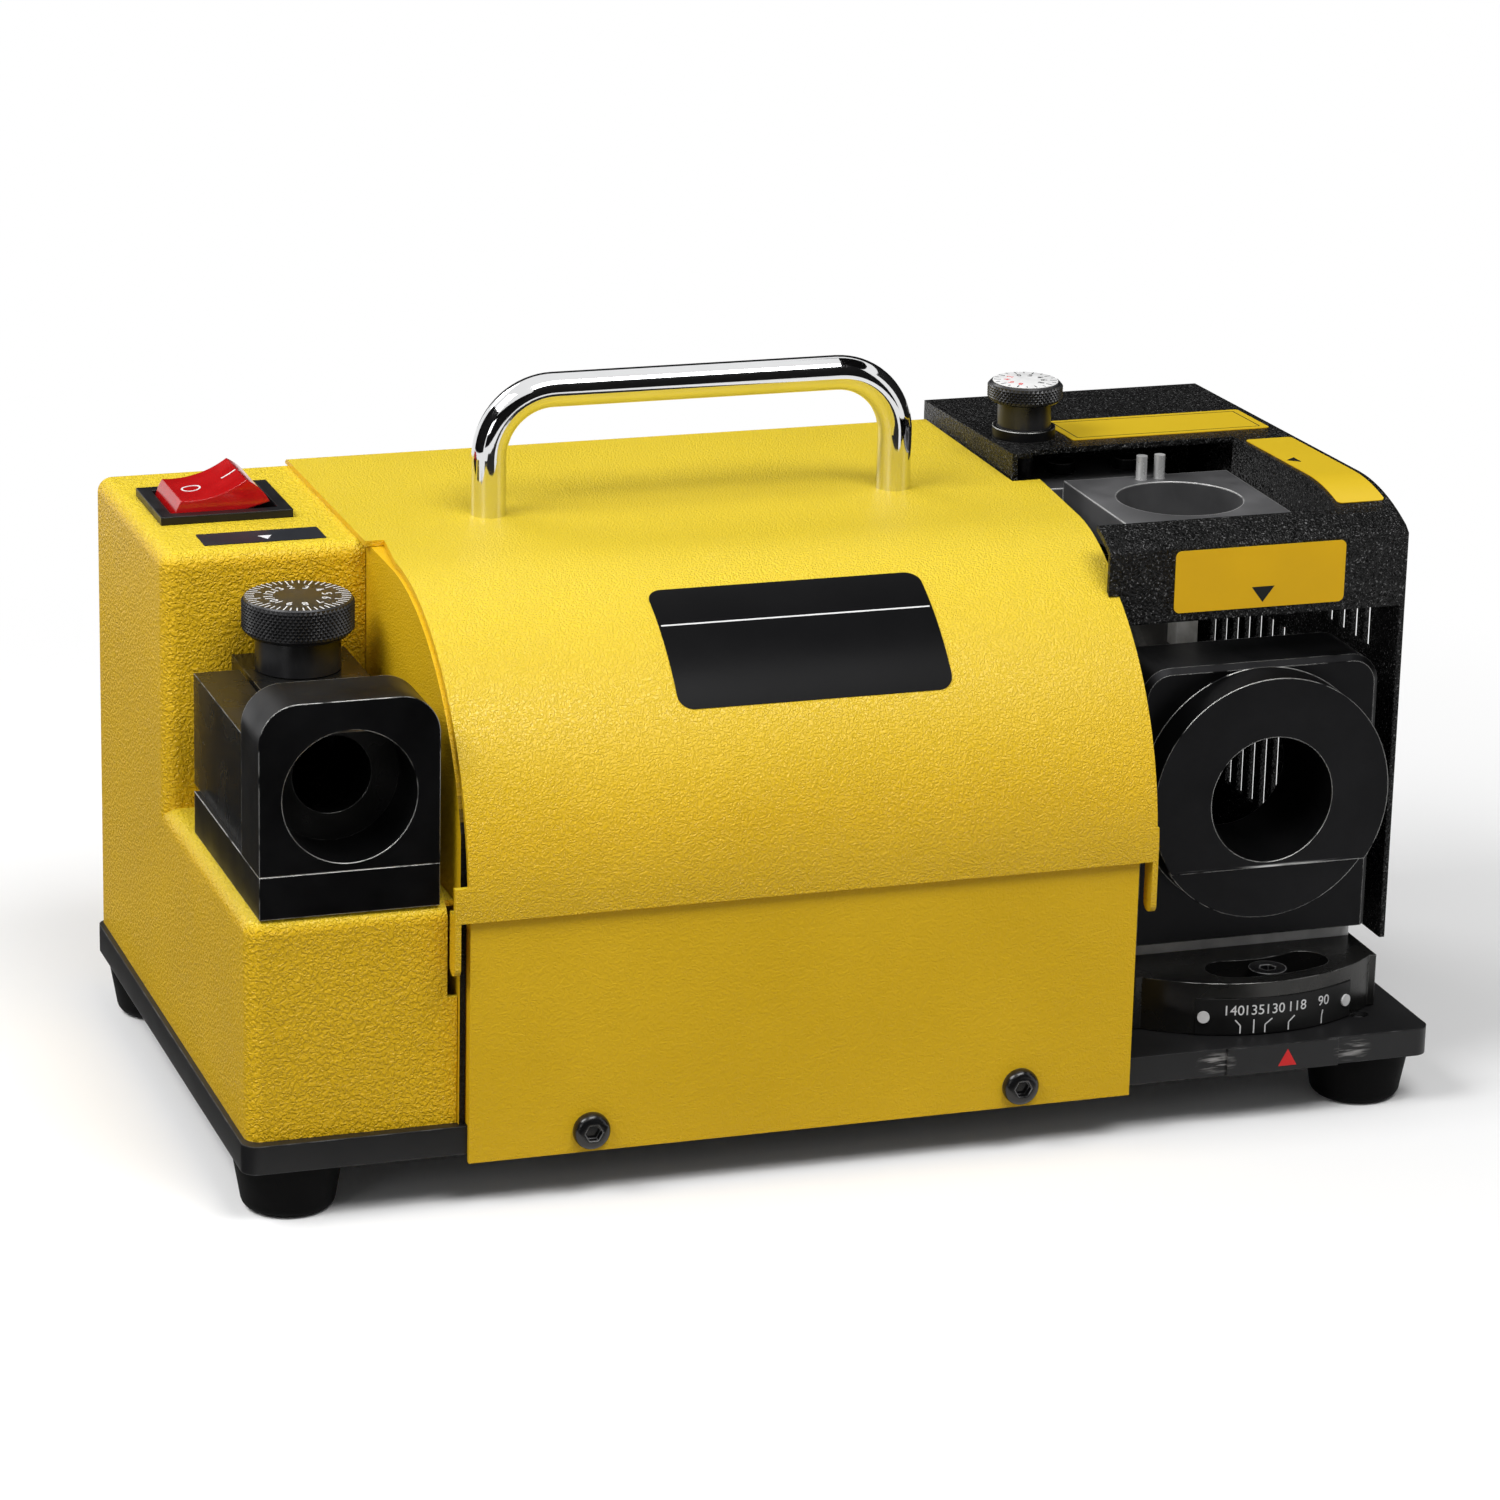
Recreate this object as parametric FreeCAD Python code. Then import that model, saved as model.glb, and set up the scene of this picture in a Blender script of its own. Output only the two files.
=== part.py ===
# Bench drill bit sharpener: yellow sheet-metal body with a carrying handle, a black
# wheel hood at the right, a setting port at the left and a swivelling point-angle holder.
# Millimetres. +X runs along the base to the hood, +Y to the back, +Z up from the floor.
import FreeCAD, Part
import math
import os

# Overall sizes and sheet
BASE_LENGTH = 320.0
OVERALL_DEPTH = 176.0
SHEET = 1.5
SEAM = 0.2
RUNNING = 0.05
WORKING_GAP = 0.3
SCREW_PLAY = 0.15

# Base plate and feet
BASE_THICK = 7.5
BASE_CORNER = 4.0
FOOT_HEIGHT = 14.2
FOOT_TOP_RADIUS = 14.0
FOOT_BOTTOM_RADIUS = 11.5
FOOT_EDGE = 3.0
FOOT_INSET = 14.5
FOOT_RECESS_RADIUS = 5.5
FOOT_RECESS_DEPTH = 8.0
M5_RADIUS = 2.5
M5_HEAD_RADIUS = 4.5
M5_HEAD_HEIGHT = 3.0
M4_RADIUS = 2.0
M4_HEAD_RADIUS = 3.6
M4_HEAD_HEIGHT = 2.4

# Left housing
LEFT_MARGIN = 1.5
LEFT_WIDTH = 53.3
LEFT_HEIGHT = 125.5
LEDGE_HEIGHT = 57.5
LEFT_FRONT_SETBACK = 3.0
UPPER_FRONT_SETBACK = 95.5
HOUSING_BEND = 4.0
EAR_NOTCH_DROP = 21.0
EAR_NOTCH_WIDTH = 2.6
FLANGE_WIDTH = 14.0
REAR_LAP = 6.0

# Main cover and its lip
COVER_RADIUS = 70.5
COVER_LAP = 1.3
COVER_RIGHT_LAP = 2.5
COVER_BEND = 3.0
LIP_STRAIGHT = 2.0
LEFT_NOTCH_SETBACK = 91.0
RIGHT_NOTCH_SETBACK = 106.0
CURVE_LEFT_INSET = 1.2
CURVE_LEFT_TOP_INSET = 3.7
CURVE_RIGHT_LAP = 4.0
CURVE_RIGHT_TOP_LAP = 10.5
BAND_HEIGHT = 7.0
BAND_LEFT_LAP = 2.3
BAND_RIGHT_LAP = 4.5
EAR_DEPTH = 5.0
EAR_DROP = 14.0
REAR_VENTS = 12
REAR_VENT_PITCH = 11.0
REAR_VENT_WIDTH = 4.0
REAR_VENT_HEIGHT = 46.0
REAR_VENT_RISE = 40.0

# Lower front panel
PANEL_LEFT_INSET = 2.0
PANEL_OVERHANG = 2.0
PANEL_FLANGE_DEPTH = 12.0
PANEL_SCREW_LEFT_INSET = 31.7
PANEL_SCREW_RIGHT_INSET = 30.5
PANEL_HEAD_RADIUS = 4.8
PANEL_HEAD_HEIGHT = 2.8
PANEL_SCREW_LENGTH = 14.0
HEX_SOCKET_FLATS = 4.0

# Carrying handle
HANDLE_BAR_RADIUS = 4.6
HANDLE_SPAN = 112.0
HANDLE_OFFSET = 2.2
HANDLE_SETBACK = 108.2
HANDLE_HEIGHT = 37.0
HANDLE_BEND = 17.0
HANDLE_SCREW_DEPTH = 12.0

# Spindle, motor and wheel
SPINDLE_SETBACK = 92.0
SPINDLE_RISE = 62.0
RIGHT_BAY_LENGTH = 86.0
BULKHEAD_THICK = 10.0
BULKHEAD_SETBACK = 18.0
BULKHEAD_BACK_GAP = 4.0
BULKHEAD_SHAFT_HOLE = 15.0
HOOD_RIB_WIDTH = 2.8
HOOD_RIB_FLOOR_DROP = 14.0
HOOD_RIB_DROP = 4.0
MOTOR_RADIUS = 46.0
MOTOR_WALL = 4.0
BELL_THICK = 14.0
BEARING_OUTER = 14.0
BEARING_WIDTH = 8.0
SHAFT_RADIUS = 6.0
MAGNET_THICK = 5.5
MAGNET_MARGIN = 18.0
MAGNET_SPAN = 110.0
AIR_GAP = 1.0
ARMATURE_MARGIN = 25.0
WINDING_RADIUS = 30.0
WINDING_LENGTH = 10.0
COMMUTATOR_RADIUS = 14.0
COMMUTATOR_LENGTH = 13.0
BRUSH_SIZE = 7.0
BRUSH_LENGTH = 14.0
BRUSH_HOLDER_WALL = 2.0
FAN_RADIUS = 38.0
FAN_CLEARANCE = 5.1
FAN_THICK = 9.0
FAN_BLADES = 10
FAN_BLADE_THICK = 1.6
FAN_HUB_RADIUS = 11.0
FAN_DISC_THICK = 2.0
TIE_BOLT_CIRCLE = 38.8
TIE_BOLT_SPREAD = 20.0
MOUNT_BOLT_CIRCLE = 26.0
MOUNT_BOLTS = 3
WHEEL_OFFSET = 22.0
WHEEL_RADIUS = 36.0
WHEEL_BACK_RADIUS = 33.0
WHEEL_BACK_WIDTH = 4.0
WHEEL_LAND = 2.0
WHEEL_CONE_WIDTH = 20.0
WHEEL_FACE_RADIUS = 24.0
WHEEL_RECESS_RADIUS = 17.0
WHEEL_HUB_WIDTH = 16.0
WHEEL_FLANGE_RADIUS = 14.0
WHEEL_FLANGE_WIDTH = 6.0
NUT_FLANGE_RADIUS = 12.0
NUT_FLANGE_WIDTH = 1.6
WHEEL_NUT_FLATS = 19.0
WHEEL_NUT_WIDTH = 6.5

# Wheel hood
HOOD_MARGIN = 1.2
HOOD_LEFT_OFFSET = 3.0
HOOD_REAR_RISE = 4.8
HOOD_CREST_SETBACK = 64.0
HOOD_CREST_RISE = 8.5
HOOD_SHOULDER_SETBACK = 46.0
HOOD_SHOULDER_RISE = 6.4
HOOD_BEND_SETBACK = 34.0
HOOD_BEND_RISE = 2.0
HOOD_SETBACK = 32.0
HOOD_BEND_DROP = 1.6
APRON_DROP = 19.2
HOOD_SIDE_GAP = 0.9
HOOD_NECK_OFFSET = 1.0
HOOD_SKIRT_SETBACK = 88.0
WINDOW_LEFT_OFFSET = 8.6
WINDOW_RIGHT_LAND = 16.3
WINDOW_BACK_SETBACK = 111.0
WINDOW_SETBACK = 42.0
WINDOW_FLANGE_DROP = 5.0
SLOT_WIDTH = 3.7
SLOT_PITCH = 7.8
LONG_SLOTS = 8
LONG_SLOT_BACK_GAP = 24.7
LONG_SLOT_RISE = 25.0
LONG_SLOT_HEIGHT = 56.0
SHORT_SLOTS = 5
SHORT_SLOT_SETBACK = 82.3
SHORT_SLOT_DROP = 36.0
SHORT_SLOT_HEIGHT = 24.0
BACK_SLOTS = 8
BACK_SLOT_OFFSET = 20.0
BACK_SLOT_PITCH = 7.0
BACK_SLOT_DROP = 45.0
BACK_SLOT_HEIGHT = 26.0

# Chuck sockets share one bore
CHUCK_RADIUS = 17.0

# Setting port on the ledge
SETTING_MARGIN = 3.5
SETTING_WIDTH = 45.5
SETTING_SETBACK = 7.0
SETTING_BASE_THICK = 11.0
SETTING_BASE_SETBACK = 76.0
SOCKET_THICK = 18.0
SOCKET_HEIGHT = 43.5
SOCKET_CORNER = 10.0
SOCKET_AXIS_RISE = 19.0
SETTING_SCREW_INSET = 6.5
SETTING_SCREW_GRIP = 6.0
SOCKET_SCREW_SETBACK = 16.0
BODY_SCREW_SETBACK = 63.0
BODY_INSET = 1.4
BODY_HEIGHT = 29.5
BODY_LEFT_SETBACK = 82.0
BODY_STEP = 13.0
BODY_GROOVE_WIDTH = 1.2
BODY_GROOVE_DEPTH = 3.0
BODY_WALL_GAP = 0.3
SIGHT_RADIUS = 10.0
DIAL_OFFSET = 28.2
DIAL_SETBACK = 80.4
DIAL_RADIUS = 14.5
DIAL_HEAD = 9.7
DIAL_STEM_RADIUS = 11.0
DIAL_STEM_HEIGHT = 9.0
DIAL_SPINDLE_RADIUS = 4.0
CAM_POCKET_RADIUS = 13.0
CAM_TOP_DROP = 6.0
CAM_THICK = 11.0
CAM_MEAN_RADIUS = 9.0
CAM_RISE = 5.0
CAM_SWEEP = 300.0

# Thinning port and its dial
PORT_OFFSET = 42.7
PORT_SETBACK = 85.8
PORT_WIDTH = 47.5
PORT_DEPTH = 48.0
PORT_DROP = 2.0
PORT_THICK = 10.0
ARM_LEFT_OFFSET = 8.0
ARM_RIGHT_OFFSET = 52.0
ARM_LENGTH = 30.0
ARM_THICK = 8.0
PIN_RADIUS = 1.5
PIN_HEIGHT = 6.5
PIN_DEPTH = 5.0
PIN_PITCH = 5.2
PIN_EDGE = 3.2
STOP_BAR_OFFSET = 36.3
STOP_BAR_WIDTH = 6.0
STOP_BAR_DEPTH = 6.0
STOP_BAR_HEIGHT = 24.0
THIN_DIAL_OFFSET = 13.3
THIN_DIAL_SETBACK = 126.4
THIN_DIAL_RADIUS = 10.3
THIN_DIAL_HEAD = 5.2
THIN_DIAL_RISE = 22.0
THIN_STEM_RADIUS = 7.3
THIN_SCREW_RADIUS = 3.0
COLLAR_RADIUS = 8.6
COLLAR_HEIGHT = 3.2
BRACKET_GAP = 3.0
BRACKET_THICK = 10.0
BRACKET_LENGTH = 50.0
BRACKET_SETBACK = 114.0
BRACKET_BACK_SETBACK = 139.0
BRACKET_PAD = 12.0
GUIDE_RADIUS = 4.0
GUIDE_LEFT_OFFSET = 24.5
GUIDE_RIGHT_OFFSET = 44.0

# Point-angle holder and its swivel
HOLDER_OFFSET = 43.5
PIVOT_SETBACK = 60.0
HOLDER_WIDTH = 67.0
HOLDER_SETBACK = 28.0
HOLDER_THICK = 21.5
FOOT_BLOCK_HEIGHT = 6.5
HOLDER_RISE = 34.3
HOLDER_CORNER = 8.0
HOLDER_EDGE = 1.5
BOSS_RADIUS = 33.0
BOSS_PROUD = 10.0
BOSS_RELIEF = 2.0
BOSS_RELIEF_DROP = 1.5
FOOT_BLOCK_SETBACK = 38.0
SECTOR_THICK = 14.2
SECTOR_RADIUS = 50.0
SECTOR_HALF_WIDTH = 34.5
SECTOR_SHOULDER_SETBACK = 22.0
SECTOR_BACK_SETBACK = 71.0
SECTOR_LIFT = 0.3
SCALE_RECESS = 0.5
SCALE_THICK = 0.8
SCALE_HEIGHT = 10.0
SCALE_START = -24.0
SCALE_END = 29.5
RIVET_RADIUS = 1.6
RIVET_LENGTH = 3.0
RIVET_LEFT = -21.5
RIVET_RIGHT = 27.0
CLAMP_CIRCLE = 39.0
CLAMP_ANGLE = 4.0
CLAMP_SLOT_START = -12.0
CLAMP_SLOT_END = 22.0
CLAMP_RADIUS = 3.0
CLAMP_HEAD_RADIUS = 5.0
CLAMP_HEAD_HEIGHT = 5.5
CLAMP_RECESS_HALF = 6.2
CLAMP_RECESS_DEPTH = 7.0
CLAMP_SLOT_HALF = 3.5
CLAMP_COLLAR_RADIUS = 5.7
CLAMP_COLLAR_THICK = 1.0
PIVOT_RADIUS = 6.0
POINTER_WIDTH = 31.5
POINTER_THICK = 0.8

# Power switch
SWITCH_OFFSET = 23.5
SWITCH_SETBACK = 137.4
BEZEL_LENGTH = 35.0
BEZEL_DEPTH = 30.0
BEZEL_THICK = 2.2
SWITCH_BOX_LENGTH = 30.6
SWITCH_BOX_DEPTH = 25.6
SWITCH_BOX_HEIGHT = 27.0
ROCKER_WELL_LENGTH = 28.4
ROCKER_WELL_DEPTH = 23.4
ROCKER_DEPTH = 22.6
ROCKER_RADIUS = 13.6
ROCKER_PIVOT_DROP = 2.4
ROCKER_HALF_ANGLE = 41.0
ROCKER_REST_TILT = 15.0
ROCKER_HOLLOW = 1.6
ROCKER_ROOT = 5.0
ROCKER_PIN_RADIUS = 1.5
WELL_DEPTH = 18.0
BLADE_WIDTH = 6.3
BLADE_THICK = 0.8
BLADE_LENGTH = 11.0
BLADE_PITCH_X = 14.0
BLADE_PITCH_Y = 10.0

# Power inlet gland and rectifier board
GLAND_OFFSET = 26.5
GLAND_RISE = 26.0
GLAND_THREAD_RADIUS = 8.0
GLAND_BORE = 4.2
GLAND_HEX_FLATS = 22.0
GLAND_HEX_WIDTH = 5.3
GLAND_NUT_WIDTH = 4.0
BOARD_LENGTH = 70.0
BOARD_HEIGHT = 45.0
BOARD_THICK = 1.6
BOARD_SETBACK = 68.0
BOARD_RISE = 10.0
BRIDGE_SIZE = 16.0
BRIDGE_HEIGHT = 7.0
CAPACITOR_RADIUS = 9.0
CAPACITOR_HEIGHT = 24.0
STANDOFF_LENGTH = 8.0
STANDOFF_RADIUS = 3.0
STANDOFF_INSET = 5.0

# Places worked out from the sizes above
BASE_HALF = BASE_LENGTH / 2
SKIN_FRONT = -OVERALL_DEPTH / 2
SKIN_BACK = OVERALL_DEPTH / 2
PANEL_FACE = SKIN_FRONT + SHEET
BASE_FRONT = SKIN_FRONT + 2 * SHEET
BASE_BACK = SKIN_BACK - SHEET
BASE_TOP = FOOT_HEIGHT + BASE_THICK
LEFT_OUTER = -BASE_HALF + LEFT_MARGIN
LEFT_SPLIT = LEFT_OUTER + LEFT_WIDTH
LEFT_FRONT = BASE_FRONT + LEFT_FRONT_SETBACK
REAR_FLOOR = BASE_TOP - REAR_LAP
SECTOR_FLOOR = BASE_TOP + SECTOR_LIFT
SECTOR_TOP = SECTOR_FLOOR + SECTOR_THICK
LEFT_TOP = BASE_TOP + LEFT_HEIGHT
LEDGE_TOP = BASE_TOP + LEDGE_HEIGHT
SPINDLE_Z = BASE_TOP + SPINDLE_RISE
REAR_VENT_FLOOR = BASE_TOP + REAR_VENT_RISE
LONG_SLOT_FLOOR = BASE_TOP + LONG_SLOT_RISE
GLAND_Z = BASE_TOP + GLAND_RISE
BOARD_Z = BASE_TOP + BOARD_RISE
UPPER_FRONT = SKIN_FRONT + UPPER_FRONT_SETBACK
LEFT_NOTCH = SKIN_FRONT + LEFT_NOTCH_SETBACK
RIGHT_NOTCH = SKIN_FRONT + RIGHT_NOTCH_SETBACK
HANDLE_CENTRE_Y = SKIN_FRONT + HANDLE_SETBACK
SPINDLE_Y = SKIN_FRONT + SPINDLE_SETBACK
BULKHEAD_FRONT = SKIN_FRONT + BULKHEAD_SETBACK
BULKHEAD_BACK = SKIN_BACK - BULKHEAD_BACK_GAP
HOOD_CREST_Y = SKIN_FRONT + HOOD_CREST_SETBACK
HOOD_SHOULDER_Y = SKIN_FRONT + HOOD_SHOULDER_SETBACK
HOOD_BEND_Y = SKIN_FRONT + HOOD_BEND_SETBACK
HOOD_FRONT = SKIN_FRONT + HOOD_SETBACK
HOOD_SKIRT_FRONT = SKIN_FRONT + HOOD_SKIRT_SETBACK
WINDOW_BACK = SKIN_FRONT + WINDOW_BACK_SETBACK
WINDOW_FRONT = SKIN_FRONT + WINDOW_SETBACK
LONG_SLOT_FIRST = SKIN_BACK - LONG_SLOT_BACK_GAP
SHORT_SLOT_FIRST = SKIN_FRONT + SHORT_SLOT_SETBACK
SETTING_FRONT = SKIN_FRONT + SETTING_SETBACK
SETTING_BASE_BACK = SKIN_FRONT + SETTING_BASE_SETBACK
SOCKET_SCREW_Y = SKIN_FRONT + SOCKET_SCREW_SETBACK
BODY_SCREW_Y = SKIN_FRONT + BODY_SCREW_SETBACK
BODY_LEFT_BACK = SKIN_FRONT + BODY_LEFT_SETBACK
DIAL_Y = SKIN_FRONT + DIAL_SETBACK
PORT_CENTRE_Y = SKIN_FRONT + PORT_SETBACK
THIN_DIAL_Y = SKIN_FRONT + THIN_DIAL_SETBACK
BRACKET_FRONT = SKIN_FRONT + BRACKET_SETBACK
BRACKET_BACK = SKIN_FRONT + BRACKET_BACK_SETBACK
PIVOT_Y = SKIN_FRONT + PIVOT_SETBACK
HOLDER_FRONT = SKIN_FRONT + HOLDER_SETBACK
FOOT_BLOCK_FRONT = SKIN_FRONT + FOOT_BLOCK_SETBACK
SECTOR_SHOULDER_Y = SKIN_FRONT + SECTOR_SHOULDER_SETBACK
SECTOR_BACK_Y = SKIN_FRONT + SECTOR_BACK_SETBACK
SWITCH_Y = SKIN_FRONT + SWITCH_SETBACK
BOARD_Y = SKIN_FRONT + BOARD_SETBACK
SETTING_LEFT = LEFT_OUTER + SETTING_MARGIN
SWITCH_X = LEFT_OUTER + SWITCH_OFFSET
GLAND_X = LEFT_OUTER + GLAND_OFFSET
DIAL_X = SETTING_LEFT + DIAL_OFFSET
CURVE_LEFT = LEFT_SPLIT + CURVE_LEFT_INSET
CURVE_LEFT_TOP = LEFT_SPLIT + CURVE_LEFT_TOP_INSET
BAND_LEFT = LEFT_SPLIT - BAND_LEFT_LAP
PANEL_LEFT = LEFT_SPLIT + PANEL_LEFT_INSET
BULKHEAD_RIGHT = BASE_HALF - RIGHT_BAY_LENGTH
COVER_RIGHT = BULKHEAD_RIGHT + COVER_RIGHT_LAP
CURVE_RIGHT = BULKHEAD_RIGHT + CURVE_RIGHT_LAP
CURVE_RIGHT_TOP = BULKHEAD_RIGHT + CURVE_RIGHT_TOP_LAP
BAND_RIGHT = BULKHEAD_RIGHT + BAND_RIGHT_LAP
PANEL_RIGHT = BULKHEAD_RIGHT
HOOD_LEFT = BULKHEAD_RIGHT + HOOD_LEFT_OFFSET
HOOD_NECK = BULKHEAD_RIGHT + HOOD_NECK_OFFSET
WINDOW_LEFT = BULKHEAD_RIGHT + WINDOW_LEFT_OFFSET
HOOD_RIGHT = BASE_HALF - HOOD_MARGIN
WINDOW_RIGHT = HOOD_RIGHT - WINDOW_RIGHT_LAND
HOLDER_X = BULKHEAD_RIGHT + HOLDER_OFFSET
WHEEL_HUB_START = BULKHEAD_RIGHT + WHEEL_OFFSET
PORT_CENTRE_X = BULKHEAD_RIGHT + PORT_OFFSET
ARM_LEFT = BULKHEAD_RIGHT + ARM_LEFT_OFFSET
ARM_RIGHT = BULKHEAD_RIGHT + ARM_RIGHT_OFFSET
STOP_BAR_X = BULKHEAD_RIGHT + STOP_BAR_OFFSET
THIN_DIAL_X = BULKHEAD_RIGHT + THIN_DIAL_OFFSET
BRACKET_RIGHT = BULKHEAD_RIGHT + BRACKET_LENGTH
GUIDE_LEFT_X = BULKHEAD_RIGHT + GUIDE_LEFT_OFFSET
GUIDE_RIGHT_X = BULKHEAD_RIGHT + GUIDE_RIGHT_OFFSET
BACK_SLOT_FIRST = BULKHEAD_RIGHT + BACK_SLOT_OFFSET
PANEL_SCREW_LEFT = PANEL_LEFT + PANEL_SCREW_LEFT_INSET
PANEL_SCREW_RIGHT = PANEL_RIGHT - PANEL_SCREW_RIGHT_INSET
HOLDER_TOP = SPINDLE_Z + HOLDER_RISE
HOLDER_FLOOR = SECTOR_TOP + FOOT_BLOCK_HEIGHT
HOOD_SIDE_FLOOR = SECTOR_TOP + HOOD_SIDE_GAP
COVER_TOP = LEFT_TOP + SHEET
HOOD_RIB_FLOOR = COVER_TOP - HOOD_RIB_FLOOR_DROP
HOOD_RIB_TOP = COVER_TOP - HOOD_RIB_DROP
HOOD_LEFT_FLOOR = HOOD_RIB_FLOOR
HOOD_REAR_TOP = COVER_TOP + HOOD_REAR_RISE
HOOD_CREST_Z = COVER_TOP + HOOD_CREST_RISE
HOOD_SHOULDER_Z = COVER_TOP + HOOD_SHOULDER_RISE
HOOD_BEND_Z = COVER_TOP + HOOD_BEND_RISE
APRON_FLOOR = COVER_TOP - APRON_DROP
WINDOW_FLANGE_FLOOR = COVER_TOP - WINDOW_FLANGE_DROP
SHORT_SLOT_FLOOR = COVER_TOP - SHORT_SLOT_DROP
BACK_SLOT_FLOOR = COVER_TOP - BACK_SLOT_DROP
PORT_TOP = COVER_TOP - PORT_DROP
THIN_DIAL_TOP = COVER_TOP + THIN_DIAL_RISE
HANDLE_TOP = COVER_TOP + HANDLE_HEIGHT
COVER_AXIS_Y = SKIN_FRONT + COVER_RADIUS
COVER_AXIS_Z = COVER_TOP - COVER_RADIUS
COVER_LEFT = LEFT_SPLIT - COVER_LAP
HANDLE_CENTRE_X = (COVER_LEFT + COVER_RIGHT) / 2 + HANDLE_OFFSET
LIP_FLOOR = COVER_AXIS_Z - LIP_STRAIGHT
EAR_NOTCH_FLOOR = LIP_FLOOR - EAR_NOTCH_DROP
INNER_RADIUS = COVER_RADIUS - SHEET - SEAM
CHEEK_LEFT = LEFT_SPLIT + SEAM
BULKHEAD_LEFT = BULKHEAD_RIGHT - BULKHEAD_THICK
EDGE_SCREW_Z = FOOT_HEIGHT + BASE_THICK / 2
CENTRE_Y = -(PANEL_FACE - PANEL_HEAD_HEIGHT + SKIN_BACK + GLAND_HEX_WIDTH) / 2


def vec(x, y, z):
    return FreeCAD.Vector(x, y, z)


X_AXIS = vec(1, 0, 0)
Y_AXIS = vec(0, 1, 0)
Z_AXIS = vec(0, 0, 1)


def box(x0, x1, y0, y1, z0, z1):
    """Box between two corners."""
    return Part.makeBox(x1 - x0, y1 - y0, z1 - z0, vec(x0, y0, z0))


def rod_x(radius, x0, x1, y, z):
    """Cylinder along X."""
    return Part.makeCylinder(radius, x1 - x0, vec(x0, y, z), X_AXIS)


def rod_y(radius, y0, y1, x, z):
    """Cylinder along Y."""
    return Part.makeCylinder(radius, y1 - y0, vec(x, y0, z), Y_AXIS)


def rod_z(radius, z0, z1, x, y):
    """Cylinder along Z."""
    return Part.makeCylinder(radius, z1 - z0, vec(x, y, z0), Z_AXIS)


def ring_x(outer, inner, x0, x1):
    """Ring about the spindle axis."""
    hole = rod_x(inner, x0 - 1, x1 + 1, SPINDLE_Y, SPINDLE_Z)
    return rod_x(outer, x0, x1, SPINDLE_Y, SPINDLE_Z).cut(hole)


def slab(points, direction):
    """Closed flat outline pushed along a direction."""
    wire = Part.makePolygon(points + [points[0]])
    return Part.Face(wire).extrude(direction)


def hexagon_y(flats, y0, y1, x, z):
    """Hexagonal prism along Y."""
    corner = flats / 2 / math.cos(math.pi / 6)
    turns = [math.pi / 3 * i for i in range(6)]
    points = [vec(x + corner * math.cos(a), y0, z + corner * math.sin(a)) for a in turns]
    return slab(points, vec(0, y1 - y0, 0))


def hexagon_x(flats, x0, x1, y, z):
    """Hexagonal prism along X."""
    corner = flats / 2 / math.cos(math.pi / 6)
    turns = [math.pi / 3 * i for i in range(6)]
    points = [vec(x0, y + corner * math.cos(a), z + corner * math.sin(a)) for a in turns]
    return slab(points, vec(x1 - x0, 0, 0))


def fuse(shapes):
    """One solid from touching or crossing pieces."""
    return shapes[0].multiFuse(shapes[1:]).removeSplitter()


def spin_profile(points):
    """Solid turned about the spindle axis from (x, radius) points."""
    outline = [vec(x, SPINDLE_Y, SPINDLE_Z + r) for x, r in points]
    face = Part.Face(Part.makePolygon(outline + [outline[0]]))
    return face.revolve(vec(0, SPINDLE_Y, SPINDLE_Z), X_AXIS, 360)


def fillet_where(shape, radius, wanted):
    """Round the edges whose middle point passes the test."""
    edges = []
    for edge in shape.Edges:
        middle = edge.valueAt((edge.FirstParameter + edge.LastParameter) / 2)
        if wanted(edge, middle):
            edges.append(edge)
    return shape.makeFillet(radius, edges)


def runs_along(edge, axis):
    """True for a straight edge along the axis."""
    first = edge.valueAt(edge.FirstParameter)
    last = edge.valueAt(edge.LastParameter)
    return (last - first).normalize().cross(axis).Length < 1e-6


def save(name, solids):
    """Write the separate solids of one node, with the origin at mid-depth."""
    shape = solids[0] if len(solids) == 1 else Part.makeCompound(solids)
    shape.translate(vec(0, CENTRE_Y, 0))
    shape.exportStep(os.path.join("parts", name + ".step"))


os.makedirs("parts", exist_ok=True)

# Base plate: steel, drilled for the feet, the swivel pivot and clamp, and the edge screws
FOOT_X = BASE_HALF - FOOT_INSET
FOOT_SPOTS = [(sx * FOOT_X, y) for sx in (-1, 1) for y in (BASE_FRONT + FOOT_INSET, BASE_BACK - FOOT_INSET)]
FLANGE_SCREW_X = LEFT_OUTER + SHEET + FLANGE_WIDTH / 2
FLANGE_SCREW_Y = [LEFT_FRONT + 3 * FLANGE_WIDTH, BASE_BACK - 3 * FLANGE_WIDTH]
REAR_SCREW_X = [
    LEFT_OUTER + LEFT_WIDTH / 2,
    COVER_LEFT + FLANGE_WIDTH,
    COVER_RIGHT - FLANGE_WIDTH,
    HOOD_LEFT + FLANGE_WIDTH,
    HOOD_RIGHT - 2 * FLANGE_WIDTH,
]
BULKHEAD_BOLT_Y = [BULKHEAD_FRONT + FLANGE_WIDTH, BULKHEAD_BACK - FLANGE_WIDTH]
CLAMP_X = HOLDER_X + CLAMP_CIRCLE * math.sin(math.radians(CLAMP_ANGLE))
CLAMP_Y = PIVOT_Y - CLAMP_CIRCLE * math.cos(math.radians(CLAMP_ANGLE))
PANEL_SCREW_X = [PANEL_SCREW_LEFT, PANEL_SCREW_RIGHT]
M5_HOLE = M5_RADIUS + SCREW_PLAY
M4_HOLE = M4_RADIUS + SCREW_PLAY

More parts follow.
